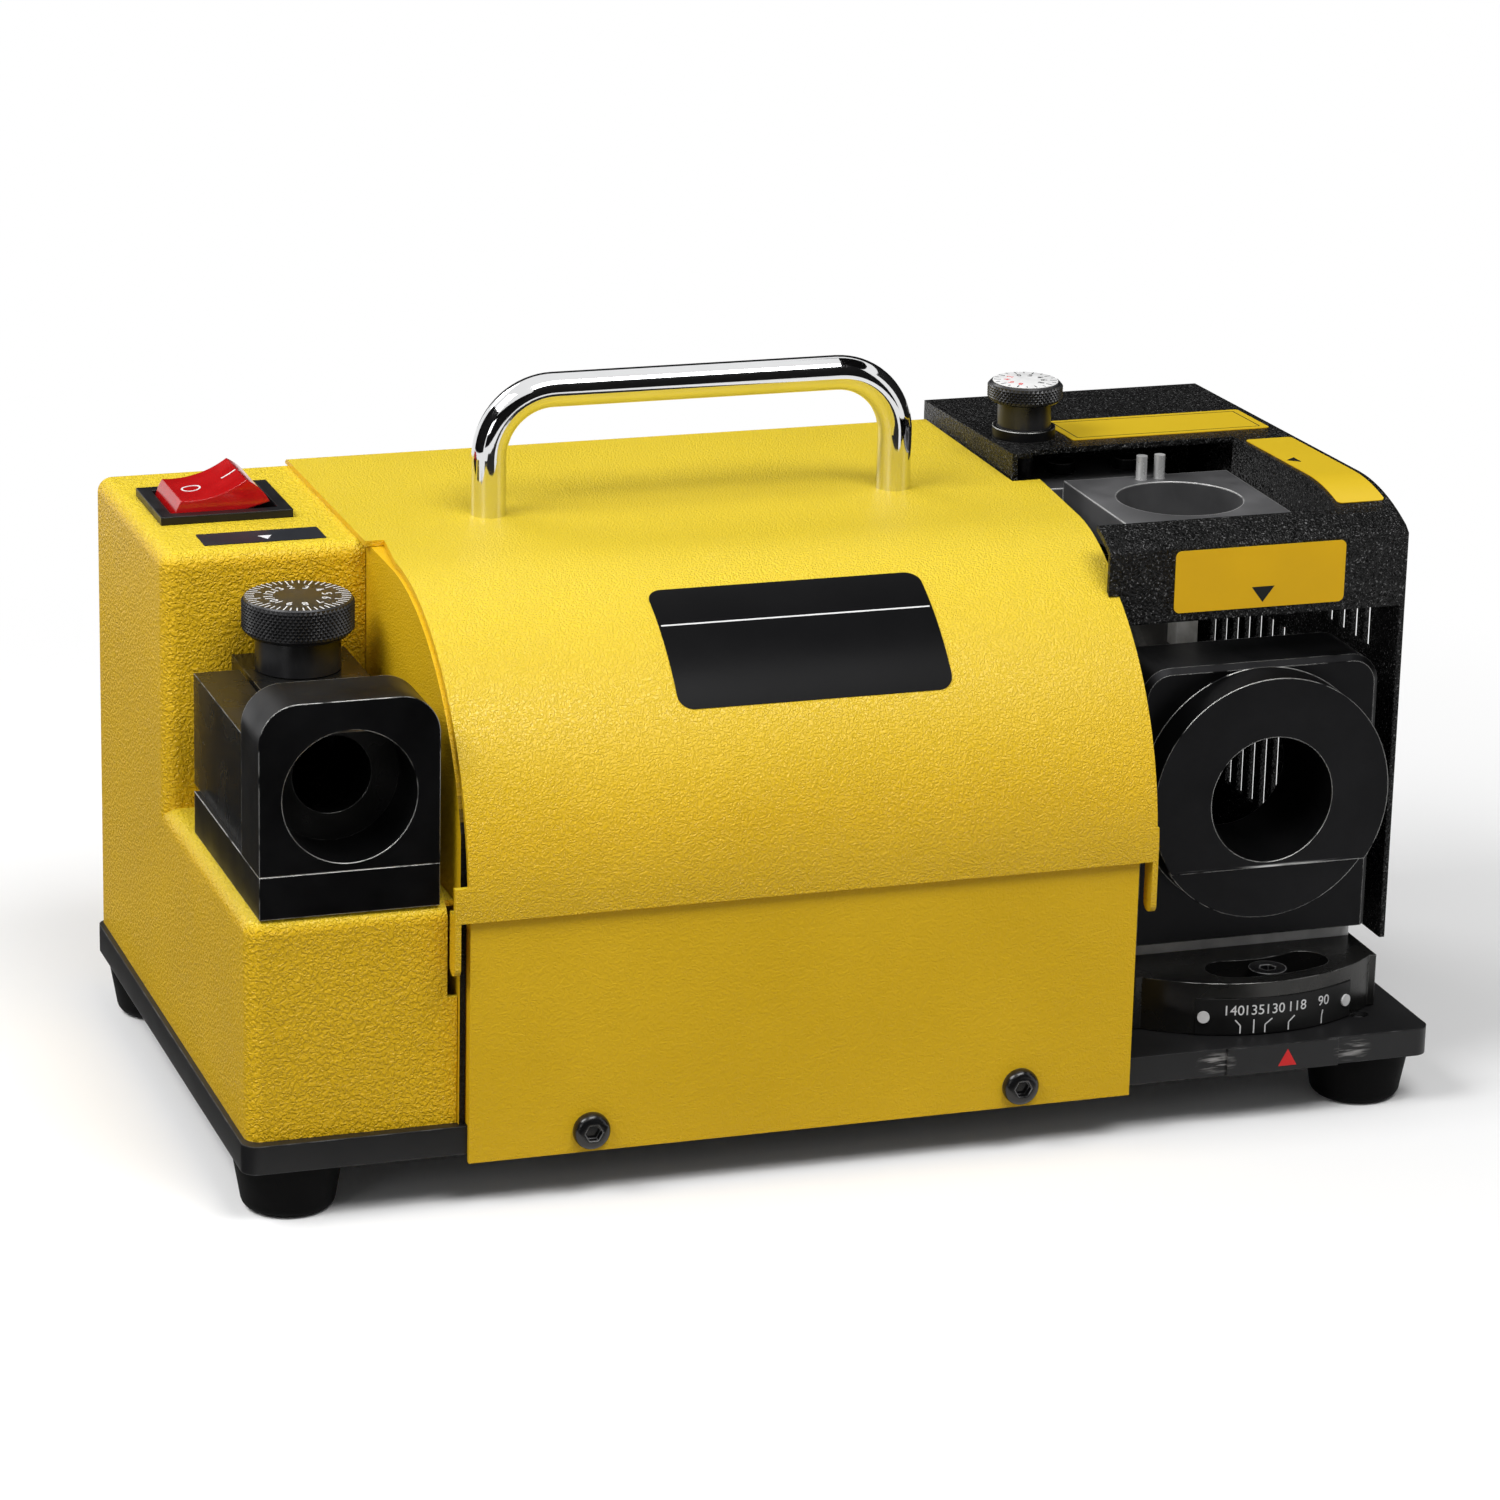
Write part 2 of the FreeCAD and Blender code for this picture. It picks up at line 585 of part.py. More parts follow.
base = box(-BASE_HALF, BASE_HALF, BASE_FRONT, BASE_BACK, FOOT_HEIGHT, BASE_TOP)
base = fillet_where(base, BASE_CORNER, lambda edge, middle: runs_along(edge, Z_AXIS))
for x, y in FOOT_SPOTS:
    base = base.cut(rod_z(M5_HOLE, FOOT_HEIGHT - 1, BASE_TOP + 1, x, y))
for y in FLANGE_SCREW_Y:
    base = base.cut(rod_z(M4_HOLE, FOOT_HEIGHT - 1, BASE_TOP + 1, FLANGE_SCREW_X, y))
for y in BULKHEAD_BOLT_Y:
    base = base.cut(rod_z(M5_HOLE, FOOT_HEIGHT - 1, BASE_TOP + 1, BULKHEAD_RIGHT - BULKHEAD_THICK / 2, y))
for x in PANEL_SCREW_X:
    base = base.cut(rod_y(M5_HOLE, BASE_FRONT - 1, PANEL_FACE + PANEL_SCREW_LENGTH + 1, x, EDGE_SCREW_Z))
for x in REAR_SCREW_X:
    base = base.cut(rod_y(M4_HOLE, SKIN_BACK - PANEL_SCREW_LENGTH - 1, BASE_BACK + 1, x, EDGE_SCREW_Z))
base = base.cut(rod_z(PIVOT_RADIUS, FOOT_HEIGHT - 1, BASE_TOP + 1, HOLDER_X, PIVOT_Y))
base = base.cut(rod_z(CLAMP_RADIUS + SCREW_PLAY, FOOT_HEIGHT - 1, BASE_TOP + 1, CLAMP_X, CLAMP_Y))
save("base_plate", [base])

# Rubber feet: tapered, with a recess that hides the screw head
FOOT_HEAD_SEAT = FOOT_RECESS_DEPTH
feet = []
foot_screws = []
for x, y in FOOT_SPOTS:
    foot = Part.makeCone(FOOT_BOTTOM_RADIUS, FOOT_TOP_RADIUS, FOOT_HEIGHT, vec(x, y, 0))
    foot = fillet_where(foot, FOOT_EDGE, lambda edge, middle: edge.Closed and middle.z < FOOT_EDGE)
    foot = foot.cut(rod_z(FOOT_RECESS_RADIUS, -1, FOOT_RECESS_DEPTH, x, y))
    foot = foot.cut(rod_z(M5_HOLE, 0, FOOT_HEIGHT + 1, x, y))
    feet.append(foot)
    head = rod_z(M5_HEAD_RADIUS, FOOT_HEAD_SEAT - M5_HEAD_HEIGHT, FOOT_HEAD_SEAT, x, y)
    foot_screws.append(head.fuse(rod_z(M5_RADIUS, FOOT_HEAD_SEAT, BASE_TOP - SHEET, x, y)))
save("rubber_feet", feet)
save("foot_screws", foot_screws)


# Left housing: folded sheet box, full depth below its ledge and set back above it
def left_form(inset, right_end):
    """The housing's stepped outline, drawn in by the sheet, with rounded folds."""
    y0 = LEFT_FRONT + inset
    y1 = UPPER_FRONT + inset
    y2 = SKIN_BACK - inset
    z0 = BASE_TOP - REAR_LAP
    x0 = LEFT_OUTER + inset
    outline = [
        vec(x0, y0, z0),
        vec(x0, y0, LEDGE_TOP - inset),
        vec(x0, y1, LEDGE_TOP - inset),
        vec(x0, y1, LEFT_TOP - inset),
        vec(x0, y2, LEFT_TOP - inset),
        vec(x0, y2, z0),
    ]
    form = slab(outline, vec(right_end - x0, 0, 0))

    def folded(edge, middle):
        at_root = abs(middle.y - y1) < 1e-6 and abs(middle.z - LEDGE_TOP + inset) < 1e-6
        return middle.x < right_end - 1e-6 and middle.z > z0 + 1e-6 and not at_root

    return fillet_where(form, HOUSING_BEND - inset, folded)


housing = left_form(0, LEFT_SPLIT).cut(left_form(SHEET, LEFT_SPLIT + 1))
housing = housing.cut(box(LEFT_OUTER - 1, LEFT_SPLIT + 1, SKIN_FRONT, BASE_BACK, 0, BASE_TOP))
inner_left = LEFT_OUTER + SHEET
flange = box(inner_left, inner_left + FLANGE_WIDTH, LEFT_FRONT + FLANGE_WIDTH, BASE_BACK - FLANGE_WIDTH,
             BASE_TOP, BASE_TOP + SHEET)
housing = fuse([housing, flange])
notch_left = LEFT_SPLIT - EAR_NOTCH_WIDTH
housing = housing.cut(box(notch_left, LEFT_SPLIT + 1, SKIN_FRONT, LEFT_FRONT + HOUSING_BEND,
                          EAR_NOTCH_FLOOR, LEDGE_TOP + 1))
housing = housing.cut(box(SWITCH_X - SWITCH_BOX_LENGTH / 2 - SEAM, SWITCH_X + SWITCH_BOX_LENGTH / 2 + SEAM,
                          SWITCH_Y - SWITCH_BOX_DEPTH / 2 - SEAM, SWITCH_Y + SWITCH_BOX_DEPTH / 2 + SEAM,
                          LEFT_TOP - 2 * SHEET, LEFT_TOP + 1))
housing = housing.cut(rod_y(GLAND_THREAD_RADIUS + SCREW_PLAY, BASE_BACK - 1, SKIN_BACK + 1, GLAND_X,
                            GLAND_Z))
housing = housing.cut(rod_y(M4_HOLE, BASE_BACK - 1, SKIN_BACK + 1, REAR_SCREW_X[0], EDGE_SCREW_Z))
for y in FLANGE_SCREW_Y:
    housing = housing.cut(rod_z(M4_HOLE, BASE_TOP - 1, BASE_TOP + SHEET + 1, FLANGE_SCREW_X, y))

SETTING_RIGHT = SETTING_LEFT + SETTING_WIDTH
SETTING_AXIS_X = SETTING_LEFT + SETTING_WIDTH / 2
SETTING_FLOOR = LEDGE_TOP + SETTING_BASE_THICK
SETTING_SCREW_SPOTS = [(x, y) for y in (SOCKET_SCREW_Y, BODY_SCREW_Y)
                       for x in (SETTING_LEFT + SETTING_SCREW_INSET, SETTING_RIGHT - SETTING_SCREW_INSET)]
SETTING_SCREW_TIP = SETTING_FLOOR + SETTING_SCREW_GRIP
for x, y in SETTING_SCREW_SPOTS:
    housing = housing.cut(rod_z(M5_HOLE, LEDGE_TOP - 2 * SHEET, LEDGE_TOP + 1, x, y))
BOARD_SPOTS = [(BOARD_Y + dy, BOARD_Z + dz)
               for dy in (STANDOFF_INSET, BOARD_LENGTH - STANDOFF_INSET)
               for dz in (STANDOFF_INSET, BOARD_HEIGHT - STANDOFF_INSET)]
save("left_housing", [housing])

housing_screws = []
for y in FLANGE_SCREW_Y:
    head = rod_z(M4_HEAD_RADIUS, FOOT_HEIGHT - M4_HEAD_HEIGHT, FOOT_HEIGHT, FLANGE_SCREW_X, y)
    shank = rod_z(M4_RADIUS, FOOT_HEIGHT, BASE_TOP + SHEET + M4_RADIUS, FLANGE_SCREW_X, y)
    housing_screws.append(head.fuse(shank))


# Main cover: one bent sheet, from the rear lap over the flat top and down the curved front
def arc_outline(x, radius, front, floor, back):
    """Face in the plane X = x under a cover radius: flat top, quarter-round front."""
    top = COVER_AXIS_Z + radius
    drop = math.sqrt(radius ** 2 - (COVER_AXIS_Y - front) ** 2)
    start = vec(x, front, COVER_AXIS_Z + drop)
    end = vec(x, COVER_AXIS_Y, top)
    turn = (math.pi / 2 + math.atan2(drop, front - COVER_AXIS_Y)) / 2
    middle = vec(x, COVER_AXIS_Y + radius * math.cos(turn), COVER_AXIS_Z + radius * math.sin(turn))
    edges = [
        Part.makeLine(vec(x, front, floor), start),
        Part.Arc(start, middle, end).toShape(),
        Part.makeLine(end, vec(x, back, top)),
        Part.makeLine(vec(x, back, top), vec(x, back, floor)),
        Part.makeLine(vec(x, back, floor), vec(x, front, floor)),
    ]
    return Part.Face(Part.Wire(edges))


def cover_form(inset, x0, x1):
    """The space under the cover, drawn in by the sheet."""
    radius = COVER_RADIUS - inset
    front = SKIN_FRONT + inset
    face = arc_outline(x0, radius, front, REAR_FLOOR - inset, SKIN_BACK - inset)
    form = face.extrude(vec(x1 - x0, 0, 0))

    def rear_fold(edge, middle):
        return runs_along(edge, X_AXIS) and middle.y > 0 and middle.z > COVER_AXIS_Z

    return fillet_where(form, COVER_BEND - inset, rear_fold)


sheet_left = BAND_LEFT - SHEET
sheet_right = CURVE_RIGHT_TOP + SHEET
skin = cover_form(0, sheet_left, sheet_right).cut(cover_form(SHEET, sheet_left - 1, sheet_right + 1))
skin = skin.cut(box(sheet_left - 1, sheet_right + 1, SKIN_FRONT - 1, COVER_AXIS_Y, 0, LIP_FLOOR))
low = REAR_FLOOR - 1
high = COVER_TOP + 1
band_top = COVER_AXIS_Z + BAND_HEIGHT
edge_turn = (SKIN_FRONT + COVER_AXIS_Y) / 2 - COVER_BEND
plan = [
    vec(COVER_LEFT, SKIN_BACK + 1, low),
    vec(COVER_LEFT, LEFT_NOTCH, low),
    vec(CURVE_LEFT_TOP, LEFT_NOTCH, low),
    vec(CURVE_LEFT, COVER_AXIS_Y, low),
    vec(CURVE_LEFT, SKIN_FRONT - 1, low),
    vec(CURVE_RIGHT, SKIN_FRONT - 1, low),
    vec(CURVE_RIGHT, edge_turn, low),
    vec(CURVE_RIGHT_TOP, RIGHT_NOTCH, low),
    vec(COVER_RIGHT, RIGHT_NOTCH, low),
    vec(COVER_RIGHT, SKIN_BACK + 1, low),
]
trimmed = skin.common(slab(plan, vec(0, 0, high - low)))
band = skin.common(box(BAND_LEFT, BAND_RIGHT, SKIN_FRONT - 1, COVER_AXIS_Y, LIP_FLOOR, band_top))
ear_floor = LIP_FLOOR - EAR_DROP
ears = []
for x in (BAND_LEFT, BAND_RIGHT - SHEET):
    ear = box(x, x + SHEET, SKIN_FRONT, SKIN_FRONT + EAR_DEPTH, ear_floor, COVER_AXIS_Z)
    ear = fillet_where(ear, EAR_DEPTH / 2 - WORKING_GAP,
                       lambda edge, middle: runs_along(edge, X_AXIS) and middle.z < ear_floor + 1e-6)
    ears.append(ear)
cover = fuse([trimmed, band] + ears)
cover = cover.cut(box(COVER_LEFT - 1, CHEEK_LEFT, UPPER_FRONT, SKIN_BACK + 1, 0, LEFT_TOP))
HANDLE_FEET_X = [HANDLE_CENTRE_X - HANDLE_SPAN / 2, HANDLE_CENTRE_X + HANDLE_SPAN / 2]
for x in HANDLE_FEET_X:
    cover = cover.cut(rod_z(M5_HOLE, COVER_TOP - 2 * SHEET, COVER_TOP + 1, x, HANDLE_CENTRE_Y))
for x in REAR_SCREW_X[1:3]:
    cover = cover.cut(rod_y(M4_HOLE, BASE_BACK - 1, SKIN_BACK + 1, x, EDGE_SCREW_Z))
vent_start = (COVER_LEFT + COVER_RIGHT) / 2 - REAR_VENT_PITCH * (REAR_VENTS - 1) / 2
for i in range(REAR_VENTS):
    x = vent_start + REAR_VENT_PITCH * i
    vent = box(x - REAR_VENT_WIDTH / 2, x + REAR_VENT_WIDTH / 2, BASE_BACK - 1, SKIN_BACK + 1,
               REAR_VENT_FLOOR, REAR_VENT_FLOOR + REAR_VENT_HEIGHT)
    cover = cover.cut(vent)
save("main_cover", [cover])

# Left cheek: side wall of the middle bay, with a flange that carries the curved sheet
cheek_face = arc_outline(CHEEK_LEFT, INNER_RADIUS, BASE_FRONT + SHEET, BASE_TOP, BASE_BACK - COVER_BEND)
cheek = cheek_face.extrude(vec(SHEET, 0, 0))
rim = cheek_face.extrude(vec(FLANGE_WIDTH, 0, 0))
rim_core = arc_outline(CHEEK_LEFT - 1, INNER_RADIUS - SHEET, BASE_FRONT + 2 * SHEET, 0, BASE_BACK + 1)
rim = rim.cut(rim_core.extrude(vec(FLANGE_WIDTH + 2, 0, 0)))
rim = rim.cut(box(CHEEK_LEFT - 1, CHEEK_LEFT + FLANGE_WIDTH + 1, SKIN_FRONT, SKIN_BACK, 0, COVER_AXIS_Z))
cheek = fuse([cheek, rim])
cheek = cheek.cut(rod_x(FLANGE_WIDTH, CHEEK_LEFT - 1, CHEEK_LEFT + SHEET + 1,
                        UPPER_FRONT + 3 * FLANGE_WIDTH,
                        SPINDLE_Z))
save("left_cheek", [cheek])

# Lower front panel: flat sheet with side flanges, screwed to the front edge of the base
panel = box(PANEL_LEFT, PANEL_RIGHT, PANEL_FACE, BASE_FRONT, FOOT_HEIGHT - PANEL_OVERHANG, COVER_AXIS_Z)
for x in (PANEL_LEFT, PANEL_RIGHT - SHEET):
    panel = panel.fuse(box(x, x + SHEET, BASE_FRONT, BASE_FRONT + PANEL_FLANGE_DEPTH, BASE_TOP + SEAM,
                           LIP_FLOOR))
panel = panel.removeSplitter()
for x in PANEL_SCREW_X:
    panel = panel.cut(rod_y(M5_HOLE, PANEL_FACE - 1, BASE_FRONT + 1, x, EDGE_SCREW_Z))
save("front_panel", [panel])

panel_screws = []
for x in PANEL_SCREW_X:
    head = rod_y(PANEL_HEAD_RADIUS, PANEL_FACE - PANEL_HEAD_HEIGHT, PANEL_FACE, x, EDGE_SCREW_Z)
    head = fillet_where(head, PANEL_HEAD_HEIGHT * 0.7,
                        lambda edge, middle: edge.Closed and middle.y < PANEL_FACE - PANEL_HEAD_HEIGHT / 2)
    head = head.cut(hexagon_y(HEX_SOCKET_FLATS, PANEL_FACE - PANEL_HEAD_HEIGHT - 1,
                              PANEL_FACE - PANEL_HEAD_HEIGHT / 3, x, EDGE_SCREW_Z))
    panel_screws.append(head.fuse(rod_y(M5_RADIUS, PANEL_FACE, PANEL_FACE + PANEL_SCREW_LENGTH, x,
                                        EDGE_SCREW_Z)))
save("panel_screws", panel_screws)

rear_screws = []
for x in REAR_SCREW_X:
    head = rod_y(M4_HEAD_RADIUS, SKIN_BACK, SKIN_BACK + M4_HEAD_HEIGHT, x, EDGE_SCREW_Z)
    rear_screws.append(head.fuse(rod_y(M4_RADIUS, SKIN_BACK - PANEL_SCREW_LENGTH, SKIN_BACK, x,
                                       EDGE_SCREW_Z)))
save("rear_screws", rear_screws)

# Carrying handle: bent chromed bar, tapped at both feet
bar_z = HANDLE_TOP - HANDLE_BAR_RADIUS
left_x, right_x = HANDLE_FEET_X
knee = HANDLE_BEND * (1 - math.sqrt(0.5))
left_low = vec(left_x, HANDLE_CENTRE_Y, COVER_TOP)
left_high = vec(left_x, HANDLE_CENTRE_Y, bar_z - HANDLE_BEND)
left_knee = vec(left_x + knee, HANDLE_CENTRE_Y, bar_z - knee)
left_top = vec(left_x + HANDLE_BEND, HANDLE_CENTRE_Y, bar_z)
right_top = vec(right_x - HANDLE_BEND, HANDLE_CENTRE_Y, bar_z)
right_knee = vec(right_x - knee, HANDLE_CENTRE_Y, bar_z - knee)
right_high = vec(right_x, HANDLE_CENTRE_Y, bar_z - HANDLE_BEND)
right_low = vec(right_x, HANDLE_CENTRE_Y, COVER_TOP)
handle_path = Part.Wire([
    Part.makeLine(left_low, left_high),
    Part.Arc(left_high, left_knee, left_top).toShape(),
    Part.makeLine(left_top, right_top),
    Part.Arc(right_top, right_knee, right_high).toShape(),
    Part.makeLine(right_high, right_low),
])
bar_section = Part.Wire([Part.makeCircle(HANDLE_BAR_RADIUS, left_low, Z_AXIS)])
handle = handle_path.makePipeShell([bar_section], True, False)
handle_screws = []
for x in HANDLE_FEET_X:
    handle = handle.cut(rod_z(M5_HOLE, COVER_TOP - 1, COVER_TOP + HANDLE_SCREW_DEPTH + 1, x,
                              HANDLE_CENTRE_Y))
    under = COVER_TOP - SHEET
    head = rod_z(M5_HEAD_RADIUS, under - M5_HEAD_HEIGHT, under, x, HANDLE_CENTRE_Y)
    handle_screws.append(head.fuse(rod_z(M5_RADIUS, under, COVER_TOP + HANDLE_SCREW_DEPTH, x,
                                         HANDLE_CENTRE_Y)))
save("carry_handle", [handle])
save("handle_screws", handle_screws)

# Bulkhead: upright plate that carries the motor, the thinning bracket and the hood
bulkhead = arc_outline(BULKHEAD_LEFT, INNER_RADIUS, BULKHEAD_FRONT, BASE_TOP, BULKHEAD_BACK)
bulkhead = bulkhead.extrude(vec(BULKHEAD_THICK, 0, 0))
rib_front = RIGHT_NOTCH + SHEET
rib = box(BULKHEAD_RIGHT, BULKHEAD_RIGHT + HOOD_RIB_WIDTH, rib_front, BULKHEAD_BACK, HOOD_RIB_FLOOR,
          HOOD_RIB_TOP)
bulkhead = fuse([bulkhead, rib])
bulkhead = bulkhead.cut(rod_x(BULKHEAD_SHAFT_HOLE, BULKHEAD_LEFT - 1, BULKHEAD_RIGHT + 1, SPINDLE_Y,
                              SPINDLE_Z))
MOUNT_TURNS = [2 * math.pi * (i + 0.25) / MOUNT_BOLTS for i in range(MOUNT_BOLTS)]
MOUNT_SPOTS = [(SPINDLE_Y + MOUNT_BOLT_CIRCLE * math.cos(a), SPINDLE_Z + MOUNT_BOLT_CIRCLE * math.sin(a))
               for a in MOUNT_TURNS]
for y, z in MOUNT_SPOTS:
    bulkhead = bulkhead.cut(rod_x(M5_HOLE, BULKHEAD_LEFT - 1, BULKHEAD_RIGHT + 1, y, z))
bulkhead_bolts = []
for y in BULKHEAD_BOLT_Y:
    x = BULKHEAD_RIGHT - BULKHEAD_THICK / 2
    bulkhead = bulkhead.cut(rod_z(M5_HOLE, BASE_TOP - 1, BASE_TOP + FLANGE_WIDTH + 1, x, y))
    head = rod_z(M5_HEAD_RADIUS, FOOT_HEIGHT - M5_HEAD_HEIGHT, FOOT_HEIGHT, x, y)
    bulkhead_bolts.append(head.fuse(rod_z(M5_RADIUS, FOOT_HEIGHT, BASE_TOP + FLANGE_WIDTH, x, y)))
PORT_FLOOR = PORT_TOP - PORT_THICK
BRACKET_TOP = PORT_FLOOR - BRACKET_GAP
BRACKET_FLOOR = BRACKET_TOP - BRACKET_THICK
BRACKET_SCREW_Y = [BRACKET_FRONT + BRACKET_PAD / 2, BRACKET_BACK - BRACKET_PAD / 2]
BRACKET_SCREW_Z = BRACKET_FLOOR + BRACKET_THICK / 2
for y in BRACKET_SCREW_Y:
    bulkhead = bulkhead.cut(rod_x(M4_HOLE, BULKHEAD_LEFT - 1, BULKHEAD_RIGHT + HOOD_RIB_WIDTH + 1, y,
                                  BRACKET_SCREW_Z))
HOOD_SCREW_Y = [rib_front + FLANGE_WIDTH / 2, BULKHEAD_BACK - FLANGE_WIDTH / 2]
HOOD_SCREW_Z = HOOD_RIB_TOP - FLANGE_WIDTH / 2
for y in HOOD_SCREW_Y:
    bulkhead = bulkhead.cut(rod_x(M4_HOLE, BULKHEAD_LEFT - 1, BULKHEAD_RIGHT + HOOD_RIB_WIDTH + 1, y,
                                  HOOD_SCREW_Z))
save("bulkhead", [bulkhead])
save("base_screws", housing_screws + bulkhead_bolts)

# Motor: magnet can between two end bells, bolted to the bulkhead
FAN_LEFT = CHEEK_LEFT + SHEET + FAN_CLEARANCE
FAN_RIGHT = FAN_LEFT + FAN_THICK
BELL_LEFT = FAN_RIGHT + M4_HEAD_HEIGHT + 2 * SHEET
CAN_RIGHT = BULKHEAD_LEFT - BELL_THICK
CAN_LEFT = BELL_LEFT + BELL_THICK
MAGNET_LENGTH = CAN_RIGHT - CAN_LEFT - 2 * MAGNET_MARGIN
CAN_BORE = MOTOR_RADIUS - MOTOR_WALL
TIE_TURNS = [math.radians(pole + side * TIE_BOLT_SPREAD) for pole in (90, 270) for side in (-1, 1)]
TIE_SPOTS = [(SPINDLE_Y + TIE_BOLT_CIRCLE * math.cos(a), SPINDLE_Z + TIE_BOLT_CIRCLE * math.sin(a))
             for a in TIE_TURNS]
motor_can = ring_x(MOTOR_RADIUS, CAN_BORE, CAN_LEFT, CAN_RIGHT)
save("motor_can", [motor_can])


def end_bell(x0, x1, bearing_x0):
    """Turned end bell with a bearing seat and tie-bolt holes."""
    bell = rod_x(MOTOR_RADIUS, x0, x1, SPINDLE_Y, SPINDLE_Z)
    bell = bell.cut(rod_x(SHAFT_RADIUS + 1, x0 - 1, x1 + 1, SPINDLE_Y, SPINDLE_Z))
    seat_end = bearing_x0 + BEARING_WIDTH
    bell = bell.cut(rod_x(BEARING_OUTER, bearing_x0, seat_end, SPINDLE_Y, SPINDLE_Z))
    for y, z in TIE_SPOTS:
        bell = bell.cut(rod_x(M4_HOLE, x0 - 1, x1 + 1, y, z))
    return bell


drive_bearing_x = CAN_RIGHT
rear_bearing_x = CAN_LEFT - BEARING_WIDTH
drive_bell = end_bell(CAN_RIGHT, BULKHEAD_LEFT, drive_bearing_x)
for y, z in MOUNT_SPOTS:
    drive_bell = drive_bell.cut(rod_x(M5_HOLE, CAN_RIGHT - 1, BULKHEAD_LEFT + 1, y, z))
save("drive_end_bell", [drive_bell])
save("rear_end_bell", [end_bell(BELL_LEFT, CAN_LEFT, rear_bearing_x)])
bearings = [ring_x(BEARING_OUTER, SHAFT_RADIUS + RUNNING, x, x + BEARING_WIDTH)
            for x in (drive_bearing_x, rear_bearing_x)]
save("motor_bearings", bearings)

tie_bolts = []
for y, z in TIE_SPOTS:
    head = rod_x(M4_HEAD_RADIUS, BELL_LEFT - M4_HEAD_HEIGHT, BELL_LEFT, y, z)
    tie_bolts.append(head.fuse(rod_x(M4_RADIUS, BELL_LEFT, BULKHEAD_LEFT, y, z)))
mount_bolts = []
for y, z in MOUNT_SPOTS:
    head = rod_x(M5_HEAD_RADIUS, BULKHEAD_RIGHT, BULKHEAD_RIGHT + M5_HEAD_HEIGHT, y, z)
    mount_bolts.append(head.fuse(rod_x(M5_RADIUS, CAN_RIGHT + SHEET, BULKHEAD_RIGHT, y, z)))
save("motor_bolts", tie_bolts + mount_bolts)

CAN_MIDDLE = (CAN_LEFT + CAN_RIGHT) / 2
MAGNET_INNER = CAN_BORE - MAGNET_THICK
magnets = []
for start in (90 - MAGNET_SPAN / 2, 270 - MAGNET_SPAN / 2):
    block = Part.makeCylinder(CAN_BORE, MAGNET_LENGTH, vec(0, 0, 0), Z_AXIS, MAGNET_SPAN)
    block = block.cut(Part.makeCylinder(MAGNET_INNER, MAGNET_LENGTH, vec(0, 0, 0), Z_AXIS))
    block.rotate(vec(0, 0, 0), Z_AXIS, start)
    block.rotate(vec(0, 0, 0), Y_AXIS, 90)
    block.translate(vec(CAN_MIDDLE - MAGNET_LENGTH / 2, SPINDLE_Y, SPINDLE_Z))
    magnets.append(block)
save("field_magnets", magnets)

# Armature, commutator and brushes
CORE_RADIUS = MAGNET_INNER - AIR_GAP
CORE_LEFT = CAN_LEFT + ARMATURE_MARGIN
CORE_RIGHT = CAN_RIGHT - ARMATURE_MARGIN
save("armature_core", [ring_x(CORE_RADIUS, SHAFT_RADIUS, CORE_LEFT, CORE_RIGHT)])
save("armature_windings", [
    ring_x(WINDING_RADIUS, SHAFT_RADIUS, CORE_LEFT - WINDING_LENGTH, CORE_LEFT),
    ring_x(WINDING_RADIUS, SHAFT_RADIUS, CORE_RIGHT, CORE_RIGHT + WINDING_LENGTH),
])
COMMUTATOR_RIGHT = CORE_LEFT - WINDING_LENGTH
COMMUTATOR_LEFT = COMMUTATOR_RIGHT - COMMUTATOR_LENGTH
commutator_ring = ring_x(COMMUTATOR_RADIUS, SHAFT_RADIUS, COMMUTATOR_LEFT, COMMUTATOR_RIGHT)
save("commutator", [commutator_ring])
brushes = []
brush_holders = []
brush_x = (COMMUTATOR_LEFT + COMMUTATOR_RIGHT) / 2
half = BRUSH_SIZE / 2
for side in (-1, 1):
    inner = SPINDLE_Z + side * (COMMUTATOR_RADIUS + WORKING_GAP)
    outer = inner + side * BRUSH_LENGTH
    low, high = min(inner, outer), max(inner, outer)
    brushes.append(box(brush_x - half, brush_x + half, SPINDLE_Y - half, SPINDLE_Y + half, low, high))
    guide_half = half + BRUSH_HOLDER_WALL
    lift = side * BRUSH_HOLDER_WALL
    holder = box(CAN_LEFT, brush_x + guide_half, SPINDLE_Y - guide_half, SPINDLE_Y + guide_half,
                 min(inner + lift, outer), max(inner + lift, outer))
    slot = box(brush_x - half, brush_x + half, SPINDLE_Y - half, SPINDLE_Y + half, low - 1, high + 1)
    brush_holders.append(holder.cut(slot))
save("brushes", brushes)
save("brush_holders", brush_holders)

# Spindle: shaft, cooling fan, and the coned grinding wheel clamped at the right
WHEEL_HUB_END = WHEEL_HUB_START + WHEEL_HUB_WIDTH
NUT_FLANGE_END = WHEEL_HUB_END + NUT_FLANGE_WIDTH
NUT_END = NUT_FLANGE_END + WHEEL_NUT_WIDTH
shaft = rod_x(SHAFT_RADIUS, FAN_LEFT, NUT_END + SHEET, SPINDLE_Y, SPINDLE_Z)
save("motor_shaft", [shaft])

fan_parts = [
    ring_x(FAN_HUB_RADIUS, SHAFT_RADIUS, FAN_LEFT, FAN_RIGHT),
    ring_x(FAN_RADIUS, SHAFT_RADIUS, FAN_RIGHT - FAN_DISC_THICK, FAN_RIGHT),
]
for i in range(FAN_BLADES):
    blade = box(FAN_LEFT, FAN_RIGHT, SPINDLE_Y - FAN_BLADE_THICK / 2, SPINDLE_Y + FAN_BLADE_THICK / 2,
                SPINDLE_Z + FAN_HUB_RADIUS - FAN_BLADE_THICK, SPINDLE_Z + FAN_RADIUS - FAN_BLADE_THICK)
    blade.rotate(vec(0, SPINDLE_Y, SPINDLE_Z), X_AXIS, 360 / FAN_BLADES * i)
    fan_parts.append(blade)
save("cooling_fan", [fuse(fan_parts)])

